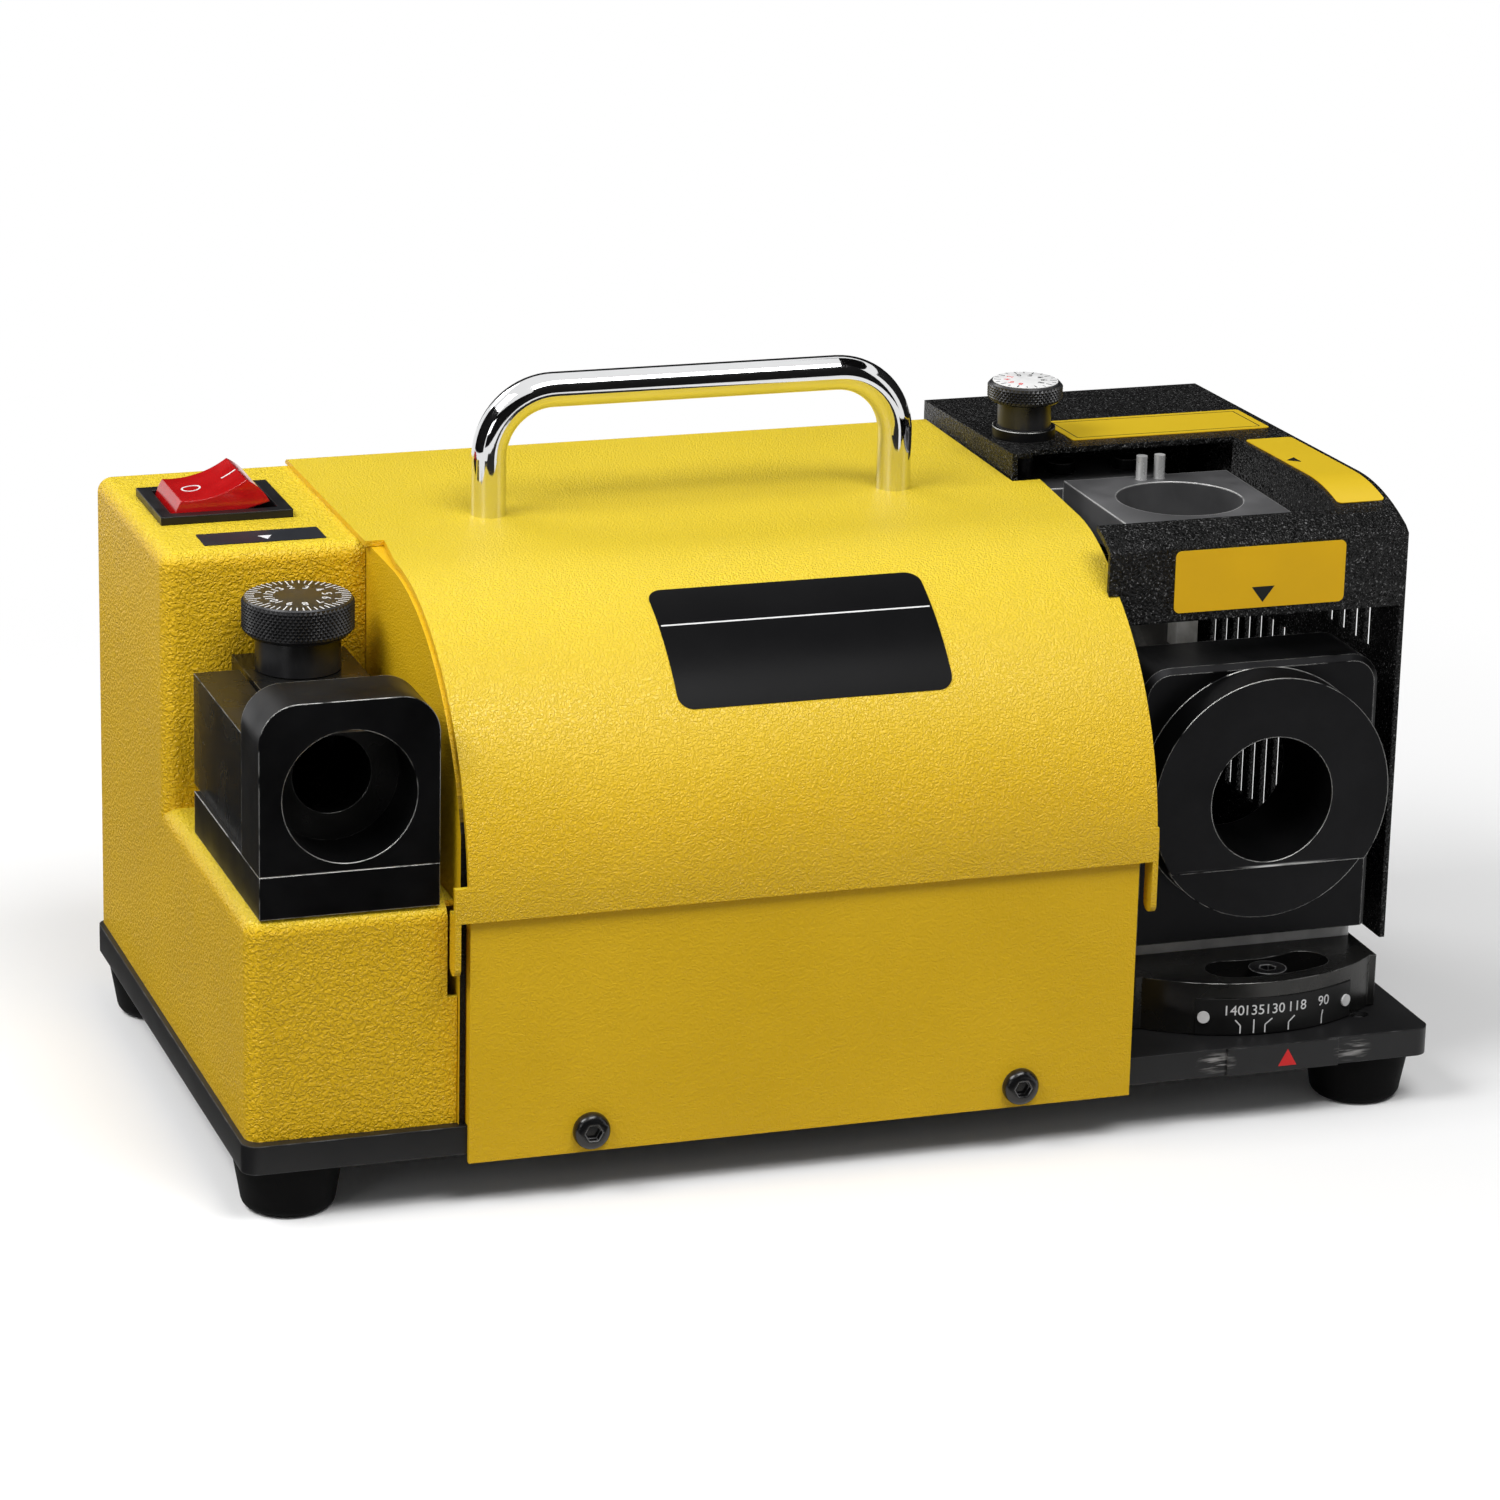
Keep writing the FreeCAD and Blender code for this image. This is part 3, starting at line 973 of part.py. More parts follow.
FLANGE_START = WHEEL_HUB_START - WHEEL_FLANGE_WIDTH
save("wheel_flange", [ring_x(WHEEL_FLANGE_RADIUS, SHAFT_RADIUS, FLANGE_START, WHEEL_HUB_START)])
cone_start = WHEEL_HUB_START + WHEEL_BACK_WIDTH + WHEEL_LAND
cone_end = cone_start + WHEEL_CONE_WIDTH
wheel = spin_profile([
    (WHEEL_HUB_START, SHAFT_RADIUS),
    (WHEEL_HUB_START, WHEEL_BACK_RADIUS),
    (WHEEL_HUB_START + WHEEL_BACK_WIDTH, WHEEL_RADIUS),
    (cone_start, WHEEL_RADIUS),
    (cone_end, WHEEL_FACE_RADIUS),
    (cone_end, WHEEL_RECESS_RADIUS),
    (WHEEL_HUB_END, WHEEL_RECESS_RADIUS),
    (WHEEL_HUB_END, SHAFT_RADIUS),
])
save("grinding_wheel", [wheel])
nut_flange = ring_x(NUT_FLANGE_RADIUS, SHAFT_RADIUS, WHEEL_HUB_END, NUT_FLANGE_END)
nut = hexagon_x(WHEEL_NUT_FLATS, NUT_FLANGE_END, NUT_END, SPINDLE_Y, SPINDLE_Z)
nut = nut.cut(rod_x(SHAFT_RADIUS, NUT_FLANGE_END - 1, NUT_END + 1, SPINDLE_Y, SPINDLE_Z))
save("wheel_nut", [fuse([nut, nut_flange])])


# Wheel hood: powder-coated sheet with a curved shoulder, apron, slotted sides and a top window
def hood_outline(x, floor):
    """Side outline of the hood down to a level floor."""
    crest = vec(x, HOOD_CREST_Y, HOOD_CREST_Z)
    bend = vec(x, HOOD_BEND_Y, HOOD_BEND_Z)
    front_top = vec(x, HOOD_FRONT, HOOD_BEND_Z - HOOD_BEND_DROP)
    edges = [
        Part.makeLine(vec(x, SKIN_BACK, floor), vec(x, SKIN_BACK, HOOD_REAR_TOP)),
        Part.makeLine(vec(x, SKIN_BACK, HOOD_REAR_TOP), crest),
        Part.Arc(crest, vec(x, HOOD_SHOULDER_Y, HOOD_SHOULDER_Z), bend).toShape(),
        Part.makeLine(bend, front_top),
        Part.makeLine(front_top, vec(x, HOOD_FRONT, floor)),
        Part.makeLine(vec(x, HOOD_FRONT, floor), vec(x, SKIN_BACK, floor)),
    ]
    return Part.Face(Part.Wire(edges))


hood_width = HOOD_RIGHT - HOOD_NECK
hood_outer = hood_outline(HOOD_NECK, REAR_FLOOR).extrude(vec(hood_width, 0, 0))
hood_core = hood_outline(HOOD_NECK, REAR_FLOOR).makeOffset2D(-SHEET, join=2)
hood_core = hood_core.extrude(vec(hood_width, 0, 0))
open_floor = box(HOOD_NECK - 1, HOOD_RIGHT + 1, HOOD_FRONT + SHEET, BASE_BACK, 0, HOOD_SIDE_FLOOR)
shell = hood_outer.cut(hood_core).cut(open_floor)
shell = shell.cut(box(HOOD_NECK - 1, HOOD_RIGHT + 1, HOOD_FRONT - 1, HOOD_FRONT + 2 * SHEET, 0,
                      APRON_FLOOR))
shell = shell.cut(box(HOOD_NECK - 1, HOOD_LEFT, RIGHT_NOTCH + SHEET, SKIN_BACK + 1, 0, HOOD_CREST_Z + 1))
right_wall = hood_outline(HOOD_RIGHT - SHEET, HOOD_SIDE_FLOOR).extrude(vec(SHEET, 0, 0))
skirt = box(HOOD_RIGHT - SHEET, HOOD_RIGHT, HOOD_SKIRT_FRONT, SKIN_BACK, BASE_TOP, HOOD_SIDE_FLOOR)
left_wall = hood_outline(HOOD_LEFT, HOOD_LEFT_FLOOR).extrude(vec(SHEET, 0, 0))
left_wall = left_wall.common(box(HOOD_LEFT - 1, HOOD_LEFT + 2 * SHEET, RIGHT_NOTCH + SHEET, SKIN_BACK,
                                 HOOD_LEFT_FLOOR, HOOD_CREST_Z + 1))
hood = fuse([shell, right_wall, skirt, left_wall])
cover_room = arc_outline(HOOD_NECK - 1, COVER_RADIUS + WORKING_GAP, SKIN_FRONT + SHEET, REAR_FLOOR,
                         RIGHT_NOTCH + SHEET)
cover_room = cover_room.extrude(vec(CURVE_RIGHT_TOP + WORKING_GAP - HOOD_NECK + 1, 0, 0))
room_plan = [
    vec(HOOD_NECK - 1, SKIN_FRONT, REAR_FLOOR),
    vec(CURVE_RIGHT + WORKING_GAP, SKIN_FRONT, REAR_FLOOR),
    vec(CURVE_RIGHT + WORKING_GAP, edge_turn, REAR_FLOOR),
    vec(CURVE_RIGHT_TOP + WORKING_GAP, RIGHT_NOTCH, REAR_FLOOR),
    vec(CURVE_RIGHT_TOP + WORKING_GAP, RIGHT_NOTCH + SHEET, REAR_FLOOR),
    vec(HOOD_NECK - 1, RIGHT_NOTCH + SHEET, REAR_FLOOR),
]
hood = hood.cut(cover_room.common(slab(room_plan, vec(0, 0, COVER_TOP + 1 - REAR_FLOOR))))
window = box(WINDOW_LEFT, WINDOW_RIGHT, WINDOW_FRONT, WINDOW_BACK, WINDOW_FLANGE_FLOOR, HOOD_CREST_Z + 1)
open_side = box(HOOD_NECK - 1, WINDOW_LEFT + 1, WINDOW_FRONT, RIGHT_NOTCH + SHEET, WINDOW_FLANGE_FLOOR,
                HOOD_CREST_Z + 1)
hood = hood.cut(window).cut(open_side)
window_cheek = hood_outline(WINDOW_RIGHT, WINDOW_FLANGE_FLOOR).extrude(vec(SHEET, 0, 0))
window_cheek = window_cheek.common(box(WINDOW_RIGHT, WINDOW_RIGHT + SHEET, WINDOW_FRONT, WINDOW_BACK,
                                       WINDOW_FLANGE_FLOOR, HOOD_CREST_Z))
hood = fuse([hood, window_cheek])


def slot_row(count, first, pitch):
    """Centres of a row of slots."""
    return [first + pitch * i for i in range(count)]


side_slots = []
for y in slot_row(LONG_SLOTS, LONG_SLOT_FIRST, -SLOT_PITCH):
    side_slots.append(box(HOOD_RIGHT - 2 * SHEET, HOOD_RIGHT + 1, y - SLOT_WIDTH / 2, y + SLOT_WIDTH / 2,
                          LONG_SLOT_FLOOR, LONG_SLOT_FLOOR + LONG_SLOT_HEIGHT))
for y in slot_row(SHORT_SLOTS, SHORT_SLOT_FIRST, -SLOT_PITCH):
    side_slots.append(box(HOOD_RIGHT - 2 * SHEET, HOOD_RIGHT + 1, y - SLOT_WIDTH / 2, y + SLOT_WIDTH / 2,
                          SHORT_SLOT_FLOOR, SHORT_SLOT_FLOOR + SHORT_SLOT_HEIGHT))
for x in slot_row(BACK_SLOTS, BACK_SLOT_FIRST, BACK_SLOT_PITCH):
    side_slots.append(box(x - SLOT_WIDTH / 2, x + SLOT_WIDTH / 2, BASE_BACK - 1, SKIN_BACK + 1,
                          BACK_SLOT_FLOOR, BACK_SLOT_FLOOR + BACK_SLOT_HEIGHT))
hood = hood.cut(Part.makeCompound(side_slots))
hood = hood.cut(rod_z(THIN_STEM_RADIUS + WORKING_GAP, COVER_AXIS_Z, HOOD_CREST_Z + 1, THIN_DIAL_X,
                      THIN_DIAL_Y))
for x in REAR_SCREW_X[3:]:
    hood = hood.cut(rod_y(M4_HOLE, BASE_BACK - 1, SKIN_BACK + 1, x, EDGE_SCREW_Z))
hood_screws = []
for y in HOOD_SCREW_Y:
    hood = hood.cut(rod_x(M4_HOLE, HOOD_LEFT - 1, HOOD_LEFT + SHEET + 1, y, HOOD_SCREW_Z))
    head = rod_x(M4_HEAD_RADIUS, HOOD_LEFT + SHEET, HOOD_LEFT + SHEET + M4_HEAD_HEIGHT, y, HOOD_SCREW_Z)
    hood_screws.append(head.fuse(rod_x(M4_RADIUS, BULKHEAD_LEFT, HOOD_LEFT + SHEET, y, HOOD_SCREW_Z)))
save("wheel_hood", [hood])

# Setting port: base block, body with the cam pocket, and the front socket
setting_base = box(SETTING_LEFT, SETTING_RIGHT, SETTING_FRONT, SETTING_BASE_BACK, LEDGE_TOP, SETTING_FLOOR)
BODY_LEFT = SETTING_LEFT + BODY_INSET
BODY_RIGHT = SETTING_RIGHT - BODY_INSET
BODY_BACK = UPPER_FRONT - BODY_WALL_GAP
STEP_X = BODY_LEFT + BODY_STEP
SOCKET_BACK = SETTING_FRONT + SOCKET_THICK
BODY_TOP = SETTING_FLOOR + BODY_HEIGHT
SOCKET_AXIS_Z = SETTING_FLOOR + SOCKET_AXIS_RISE
setting_base = fuse([setting_base, box(STEP_X, BODY_RIGHT, SETTING_BASE_BACK, BODY_BACK, LEDGE_TOP,
                                       SETTING_FLOOR)])
for x, y in SETTING_SCREW_SPOTS:
    setting_base = setting_base.cut(rod_z(M5_HOLE, LEDGE_TOP - 1, SETTING_FLOOR + 1, x, y))
setting_base = setting_base.cut(rod_z(DIAL_SPINDLE_RADIUS + RUNNING, LEDGE_TOP + SHEET, SETTING_FLOOR + 1,
                                      DIAL_X, DIAL_Y))
save("setting_base", [setting_base])

socket = box(SETTING_LEFT, SETTING_RIGHT, SETTING_FRONT, SOCKET_BACK, SETTING_FLOOR,
             SETTING_FLOOR + SOCKET_HEIGHT)
socket = fillet_where(socket, SOCKET_CORNER,
                      lambda edge, middle: runs_along(edge, Y_AXIS) and middle.z > SOCKET_AXIS_Z)
socket = socket.cut(rod_y(CHUCK_RADIUS, SETTING_FRONT - 1, SOCKET_BACK + 1, SETTING_AXIS_X, SOCKET_AXIS_Z))
for x, y in SETTING_SCREW_SPOTS[:2]:
    socket = socket.cut(rod_z(M5_HOLE, SETTING_FLOOR - 1, SETTING_SCREW_TIP + SCREW_PLAY, x, y))
save("setting_socket", [socket])

body = fuse([
    box(BODY_LEFT, BODY_RIGHT, SOCKET_BACK, BODY_LEFT_BACK, SETTING_FLOOR, BODY_TOP),
    box(STEP_X, BODY_RIGHT, BODY_LEFT_BACK, BODY_BACK, SETTING_FLOOR, BODY_TOP),
])
body = body.cut(box(STEP_X - BODY_GROOVE_WIDTH, STEP_X, SOCKET_BACK - 1, BODY_LEFT_BACK + 1,
                    BODY_TOP - BODY_GROOVE_DEPTH, BODY_TOP + 1))
CAM_TOP = BODY_TOP - CAM_TOP_DROP - WORKING_GAP
CAM_FLOOR = CAM_TOP - CAM_THICK
pocket = rod_z(CAM_POCKET_RADIUS, SETTING_FLOOR - 1, BODY_TOP - CAM_TOP_DROP, DIAL_X, DIAL_Y)
body = body.cut(pocket)
body = body.cut(rod_y(SIGHT_RADIUS, SOCKET_BACK - 1, DIAL_Y, SETTING_AXIS_X, SOCKET_AXIS_Z))
body = body.cut(rod_z(DIAL_SPINDLE_RADIUS + RUNNING, SETTING_FLOOR, BODY_TOP + 1, DIAL_X, DIAL_Y))
for x, y in SETTING_SCREW_SPOTS[2:]:
    body = body.cut(rod_z(M5_HOLE, SETTING_FLOOR - 1, SETTING_SCREW_TIP + SCREW_PLAY, x, y))
save("setting_body", [body])

setting_screws = []
for x, y in SETTING_SCREW_SPOTS:
    head_top = LEDGE_TOP - SHEET
    head = rod_z(M5_HEAD_RADIUS, head_top - M5_HEAD_HEIGHT, head_top, x, y)
    setting_screws.append(head.fuse(rod_z(M5_RADIUS, head_top, SETTING_SCREW_TIP, x, y)))
save("setting_screws", setting_screws)

# Setting dial with its spindle, and the snail cam that the drill tip touches
dial_seat = BODY_TOP + WORKING_GAP
head_floor = dial_seat + DIAL_STEM_HEIGHT
dial = fuse([
    rod_z(DIAL_RADIUS, head_floor, head_floor + DIAL_HEAD, DIAL_X, DIAL_Y),
    rod_z(DIAL_STEM_RADIUS, dial_seat, head_floor, DIAL_X, DIAL_Y),
    rod_z(DIAL_SPINDLE_RADIUS, LEDGE_TOP + SHEET + WORKING_GAP, dial_seat, DIAL_X, DIAL_Y),
])
save("setting_dial", [dial])

CAM_STEPS = 60
cam_points = []
for i in range(CAM_STEPS + 1):
    share = i / CAM_STEPS - 0.5
    turn = math.radians(-90 - CAM_SWEEP * share)
    reach = CAM_MEAN_RADIUS + CAM_RISE * share
    cam_points.append(vec(DIAL_X + reach * math.cos(turn), DIAL_Y + reach * math.sin(turn), CAM_FLOOR))
cam_curve = Part.BSplineCurve()
cam_curve.interpolate(cam_points)
cam_wire = Part.Wire([cam_curve.toShape(), Part.makeLine(cam_points[-1], cam_points[0])])
cam = Part.Face(cam_wire).extrude(vec(0, 0, CAM_THICK))
cam = cam.cut(rod_z(DIAL_SPINDLE_RADIUS, CAM_FLOOR - 1, CAM_TOP + 1, DIAL_X, DIAL_Y))
save("setting_cam", [cam])

# Thinning port: a plate that the dial's screw raises and lowers on two guide posts
port_left = PORT_CENTRE_X - PORT_WIDTH / 2
port_right = PORT_CENTRE_X + PORT_WIDTH / 2
port_front = PORT_CENTRE_Y - PORT_DEPTH / 2
port_back = PORT_CENTRE_Y + PORT_DEPTH / 2
port = box(port_left, port_right, port_front, port_back, PORT_FLOOR, PORT_TOP)
arm = box(ARM_LEFT, ARM_RIGHT, port_back, port_back + ARM_LENGTH, PORT_FLOOR, PORT_FLOOR + ARM_THICK)
port = fuse([port, arm])
port = port.cut(rod_z(CHUCK_RADIUS, PORT_FLOOR - 1, PORT_TOP + 1, PORT_CENTRE_X, PORT_CENTRE_Y))
GUIDE_Y = (BRACKET_FRONT + BRACKET_BACK) / 2
GUIDE_SPOTS = [(GUIDE_LEFT_X, GUIDE_Y), (GUIDE_RIGHT_X, GUIDE_Y)]
for x, y in GUIDE_SPOTS:
    port = port.cut(rod_z(GUIDE_RADIUS + RUNNING, PORT_FLOOR - 1, PORT_TOP + 1, x, y))
port = port.cut(rod_z(THIN_SCREW_RADIUS + RUNNING, PORT_FLOOR - 1, PORT_TOP + 1, THIN_DIAL_X, THIN_DIAL_Y))
pin_y = port_back - PIN_EDGE
pin_xs = [PORT_CENTRE_X - PIN_PITCH / 2, PORT_CENTRE_X + PIN_PITCH / 2]
locating_pins = []
for x in pin_xs:
    port = port.cut(rod_z(PIN_RADIUS, PORT_TOP - PIN_DEPTH, PORT_TOP + 1, x, pin_y))
    locating_pins.append(rod_z(PIN_RADIUS, PORT_TOP - PIN_DEPTH, PORT_TOP + PIN_HEIGHT, x, pin_y))
save("thinning_port", [port])
save("locating_pins", locating_pins)
stop_bar = box(STOP_BAR_X - STOP_BAR_WIDTH / 2, STOP_BAR_X + STOP_BAR_WIDTH / 2, port_front,
               port_front + STOP_BAR_DEPTH, PORT_FLOOR - STOP_BAR_HEIGHT, PORT_FLOOR)
save("thinning_stop", [stop_bar])

bracket = box(BULKHEAD_RIGHT, BRACKET_RIGHT, BRACKET_FRONT, BRACKET_BACK, BRACKET_FLOOR, BRACKET_TOP)
guide_posts = []
for x, y in GUIDE_SPOTS:
    bracket = bracket.cut(rod_z(GUIDE_RADIUS, BRACKET_FLOOR - 1, BRACKET_TOP + 1, x, y))
    guide_posts.append(rod_z(GUIDE_RADIUS, BRACKET_FLOOR, PORT_FLOOR + ARM_THICK + BRACKET_GAP, x, y))
screw_floor = BRACKET_FLOOR + BRACKET_THICK / 2
bracket = bracket.cut(rod_z(THIN_SCREW_RADIUS + RUNNING, screw_floor, BRACKET_TOP + 1, THIN_DIAL_X,
                            THIN_DIAL_Y))
bracket_screws = []
for y in BRACKET_SCREW_Y:
    bracket = bracket.cut(rod_x(M4_HOLE, BULKHEAD_RIGHT - 1, BULKHEAD_RIGHT + BRACKET_PAD + 1, y,
                                BRACKET_SCREW_Z))
    head = rod_x(M4_HEAD_RADIUS, BULKHEAD_LEFT - M4_HEAD_HEIGHT, BULKHEAD_LEFT, y, BRACKET_SCREW_Z)
    bracket_screws.append(head.fuse(rod_x(M4_RADIUS, BULKHEAD_LEFT, BULKHEAD_RIGHT + BRACKET_PAD, y,
                                          BRACKET_SCREW_Z)))
save("thinning_bracket", [bracket])
save("guide_posts", guide_posts)
save("bulkhead_screws", hood_screws + bracket_screws)

# Thinning dial on its lead screw, with a collar on the hood
hood_slope = (HOOD_CREST_Z - HOOD_REAR_TOP) / (HOOD_CREST_Y - SKIN_BACK)
dial_seat_z = HOOD_REAR_TOP + hood_slope * (THIN_DIAL_Y - SKIN_BACK)
collar_floor = HOOD_REAR_TOP + hood_slope * (THIN_DIAL_Y + COLLAR_RADIUS - SKIN_BACK)
collar_top = dial_seat_z + COLLAR_HEIGHT
collar = rod_z(COLLAR_RADIUS, collar_floor - SHEET, collar_top, THIN_DIAL_X, THIN_DIAL_Y)
collar = collar.cut(rod_z(THIN_STEM_RADIUS + RUNNING, collar_floor - 2 * SHEET, collar_top + 1,
                          THIN_DIAL_X, THIN_DIAL_Y))
collar = collar.cut(hood_outline(HOOD_NECK, HOOD_LEFT_FLOOR).extrude(vec(hood_width, 0, 0)))
save("dial_collar", [collar])
thin_head_floor = THIN_DIAL_TOP - THIN_DIAL_HEAD
stem_floor = collar_floor - COLLAR_HEIGHT
thin_dial = fuse([
    rod_z(THIN_DIAL_RADIUS, thin_head_floor, THIN_DIAL_TOP, THIN_DIAL_X, THIN_DIAL_Y),
    rod_z(THIN_STEM_RADIUS, stem_floor, thin_head_floor, THIN_DIAL_X, THIN_DIAL_Y),
    rod_z(THIN_SCREW_RADIUS, screw_floor + WORKING_GAP, stem_floor, THIN_DIAL_X, THIN_DIAL_Y),
])
save("thinning_dial", [thin_dial])

# Point-angle holder: bored block with a round boss, on a ground foot block
HOLDER_LEFT = HOLDER_X - HOLDER_WIDTH / 2
HOLDER_RIGHT = HOLDER_X + HOLDER_WIDTH / 2
HOLDER_BACK = HOLDER_FRONT + HOLDER_THICK
BOSS_FACE = HOLDER_FRONT - BOSS_PROUD
holder = box(HOLDER_LEFT, HOLDER_RIGHT, HOLDER_FRONT, HOLDER_BACK, HOLDER_FLOOR, HOLDER_TOP)
holder = fillet_where(holder, HOLDER_CORNER,
                      lambda edge, middle: runs_along(edge, Y_AXIS) and middle.z > SPINDLE_Z)
holder_sides = []
for edge in holder.Edges:
    middle = edge.valueAt((edge.FirstParameter + edge.LastParameter) / 2)
    if runs_along(edge, Z_AXIS) and middle.y < HOLDER_BACK - 1e-6:
        holder_sides.append(edge)
holder = holder.makeChamfer(HOLDER_EDGE, holder_sides)
boss = rod_y(BOSS_RADIUS, BOSS_FACE, HOLDER_FRONT, HOLDER_X, SPINDLE_Z)
relief_top = SPINDLE_Z - CHUCK_RADIUS - BOSS_RELIEF_DROP
boss = boss.cut(box(HOLDER_LEFT, HOLDER_RIGHT, BOSS_FACE - 1, BOSS_FACE + BOSS_RELIEF, HOLDER_FLOOR,
                    relief_top))
holder = fuse([holder, boss])
holder = holder.cut(rod_y(CHUCK_RADIUS, BOSS_FACE - 1, HOLDER_BACK + 1, HOLDER_X, SPINDLE_Z))
HOLDER_SCREW_Y = (FOOT_BLOCK_FRONT + HOLDER_BACK) / 2
HOLDER_SCREW_X = [HOLDER_LEFT + FLANGE_WIDTH, HOLDER_RIGHT - FLANGE_WIDTH]
SCREW_TIP = HOLDER_FLOOR + FLANGE_WIDTH - SHEET
for x in HOLDER_SCREW_X:
    holder = holder.cut(rod_z(M5_HOLE, HOLDER_FLOOR - 1, SCREW_TIP + SHEET, x, HOLDER_SCREW_Y))
save("angle_holder", [holder])

foot_block = box(HOLDER_LEFT, HOLDER_RIGHT, FOOT_BLOCK_FRONT, HOLDER_BACK, SECTOR_TOP, HOLDER_FLOOR)
for x in HOLDER_SCREW_X:
    foot_block = foot_block.cut(rod_z(M5_HOLE, SECTOR_TOP - 1, HOLDER_FLOOR + 1, x, HOLDER_SCREW_Y))
save("holder_foot", [foot_block])


def on_sector(radius, degrees):
    """Point on a circle about the swivel pivot; zero degrees looks to the front."""
    turn = math.radians(degrees)
    return HOLDER_X + radius * math.sin(turn), PIVOT_Y - radius * math.cos(turn)


# Swivel sector: turns on the pivot pin, with a clamp slot and an engraved scale at its front
shoulder_reach = PIVOT_Y - SECTOR_SHOULDER_Y
arc_half = math.sqrt(SECTOR_RADIUS ** 2 - shoulder_reach ** 2)
sector_left = vec(HOLDER_X - arc_half, SECTOR_SHOULDER_Y, SECTOR_FLOOR)
sector_right = vec(HOLDER_X + arc_half, SECTOR_SHOULDER_Y, SECTOR_FLOOR)
sector_front = vec(HOLDER_X, PIVOT_Y - SECTOR_RADIUS, SECTOR_FLOOR)
back_left = vec(HOLDER_X - SECTOR_HALF_WIDTH, SECTOR_BACK_Y, SECTOR_FLOOR)
back_right = vec(HOLDER_X + SECTOR_HALF_WIDTH, SECTOR_BACK_Y, SECTOR_FLOOR)
side_left = vec(HOLDER_X - SECTOR_HALF_WIDTH, SECTOR_SHOULDER_Y, SECTOR_FLOOR)
side_right = vec(HOLDER_X + SECTOR_HALF_WIDTH, SECTOR_SHOULDER_Y, SECTOR_FLOOR)
sector_edges = [
    Part.makeLine(back_left, side_left),
    Part.makeLine(side_left, sector_left),
    Part.Arc(sector_left, sector_front, sector_right).toShape(),
    Part.makeLine(sector_right, side_right),
    Part.makeLine(side_right, back_right),
    Part.makeLine(back_right, back_left),
]
sector = Part.Face(Part.Wire(sector_edges)).extrude(vec(0, 0, SECTOR_THICK))


def ring_sector(inner, outer, start, end, z0, z1):
    """Part of a ring about the pivot between two angles."""
    i0 = vec(*on_sector(inner, start), z0)
    i1 = vec(*on_sector(inner, (start + end) / 2), z0)
    i2 = vec(*on_sector(inner, end), z0)
    o0 = vec(*on_sector(outer, start), z0)
    o1 = vec(*on_sector(outer, (start + end) / 2), z0)
    o2 = vec(*on_sector(outer, end), z0)
    wire = Part.Wire([
        Part.Arc(i0, i1, i2).toShape(),
        Part.makeLine(i2, o2),
        Part.Arc(o2, o1, o0).toShape(),
        Part.makeLine(o0, i0),
    ])
    return Part.Face(wire).extrude(vec(0, 0, z1 - z0))


def clamp_slot(half_width, z0, z1):
    """Round-ended slot on the clamp circle."""
    pieces = [ring_sector(CLAMP_CIRCLE - half_width, CLAMP_CIRCLE + half_width, CLAMP_SLOT_START,
                          CLAMP_SLOT_END, z0, z1)]
    for degrees in (CLAMP_SLOT_START, CLAMP_SLOT_END):
        pieces.append(rod_z(half_width, z0, z1, *on_sector(CLAMP_CIRCLE, degrees)))
    return fuse(pieces)


CLAMP_SEAT = SECTOR_TOP - CLAMP_RECESS_DEPTH
sector = sector.cut(clamp_slot(CLAMP_RECESS_HALF, CLAMP_SEAT, SECTOR_TOP + 1))
sector = sector.cut(clamp_slot(CLAMP_SLOT_HALF, SECTOR_FLOOR - 1, CLAMP_SEAT + 1))
sector = sector.cut(rod_z(PIVOT_RADIUS + RUNNING, SECTOR_FLOOR - 1, SECTOR_TOP + 1, HOLDER_X, PIVOT_Y))
SCALE_BACK = SECTOR_RADIUS - SCALE_RECESS
sector = sector.cut(ring_sector(SCALE_BACK, SECTOR_RADIUS + 1, SCALE_START, SCALE_END, SECTOR_FLOOR - 1,
                                SECTOR_FLOOR + SCALE_HEIGHT))
sector_screw_seat = SECTOR_FLOOR + M5_HEAD_HEIGHT + WORKING_GAP
for x in HOLDER_SCREW_X:
    sector = sector.cut(rod_z(M5_HOLE, SECTOR_FLOOR - 1, SECTOR_TOP + 1, x, HOLDER_SCREW_Y))
    sector = sector.cut(rod_z(M5_HEAD_RADIUS + SCREW_PLAY, SECTOR_FLOOR - 1, sector_screw_seat, x,
                              HOLDER_SCREW_Y))
scale_plate = ring_sector(SCALE_BACK, SCALE_BACK + SCALE_THICK, SCALE_START, SCALE_END, SECTOR_FLOOR,
                          SECTOR_FLOOR + SCALE_HEIGHT)
rivets = []
rivet_z = SECTOR_FLOOR + SCALE_HEIGHT / 2
for degrees in (RIVET_LEFT, RIVET_RIGHT):
    x, y = on_sector(SCALE_BACK + SCALE_THICK + RIVET_RADIUS / 3, degrees)
    aim = vec(HOLDER_X - x, PIVOT_Y - y, 0).normalize()
    rivet = Part.makeCylinder(RIVET_RADIUS, RIVET_LENGTH, vec(x, y, rivet_z), aim)
    sector = sector.cut(rivet)
    scale_plate = scale_plate.cut(rivet)
    rivets.append(rivet)
save("swivel_sector", [sector])
save("scale_plate", [scale_plate])
save("scale_rivets", rivets)

holder_screws = []
for x in HOLDER_SCREW_X:
    head = rod_z(M5_HEAD_RADIUS, sector_screw_seat - M5_HEAD_HEIGHT, sector_screw_seat, x, HOLDER_SCREW_Y)
    holder_screws.append(head.fuse(rod_z(M5_RADIUS, sector_screw_seat, SCREW_TIP, x, HOLDER_SCREW_Y)))
save("holder_screws", holder_screws)

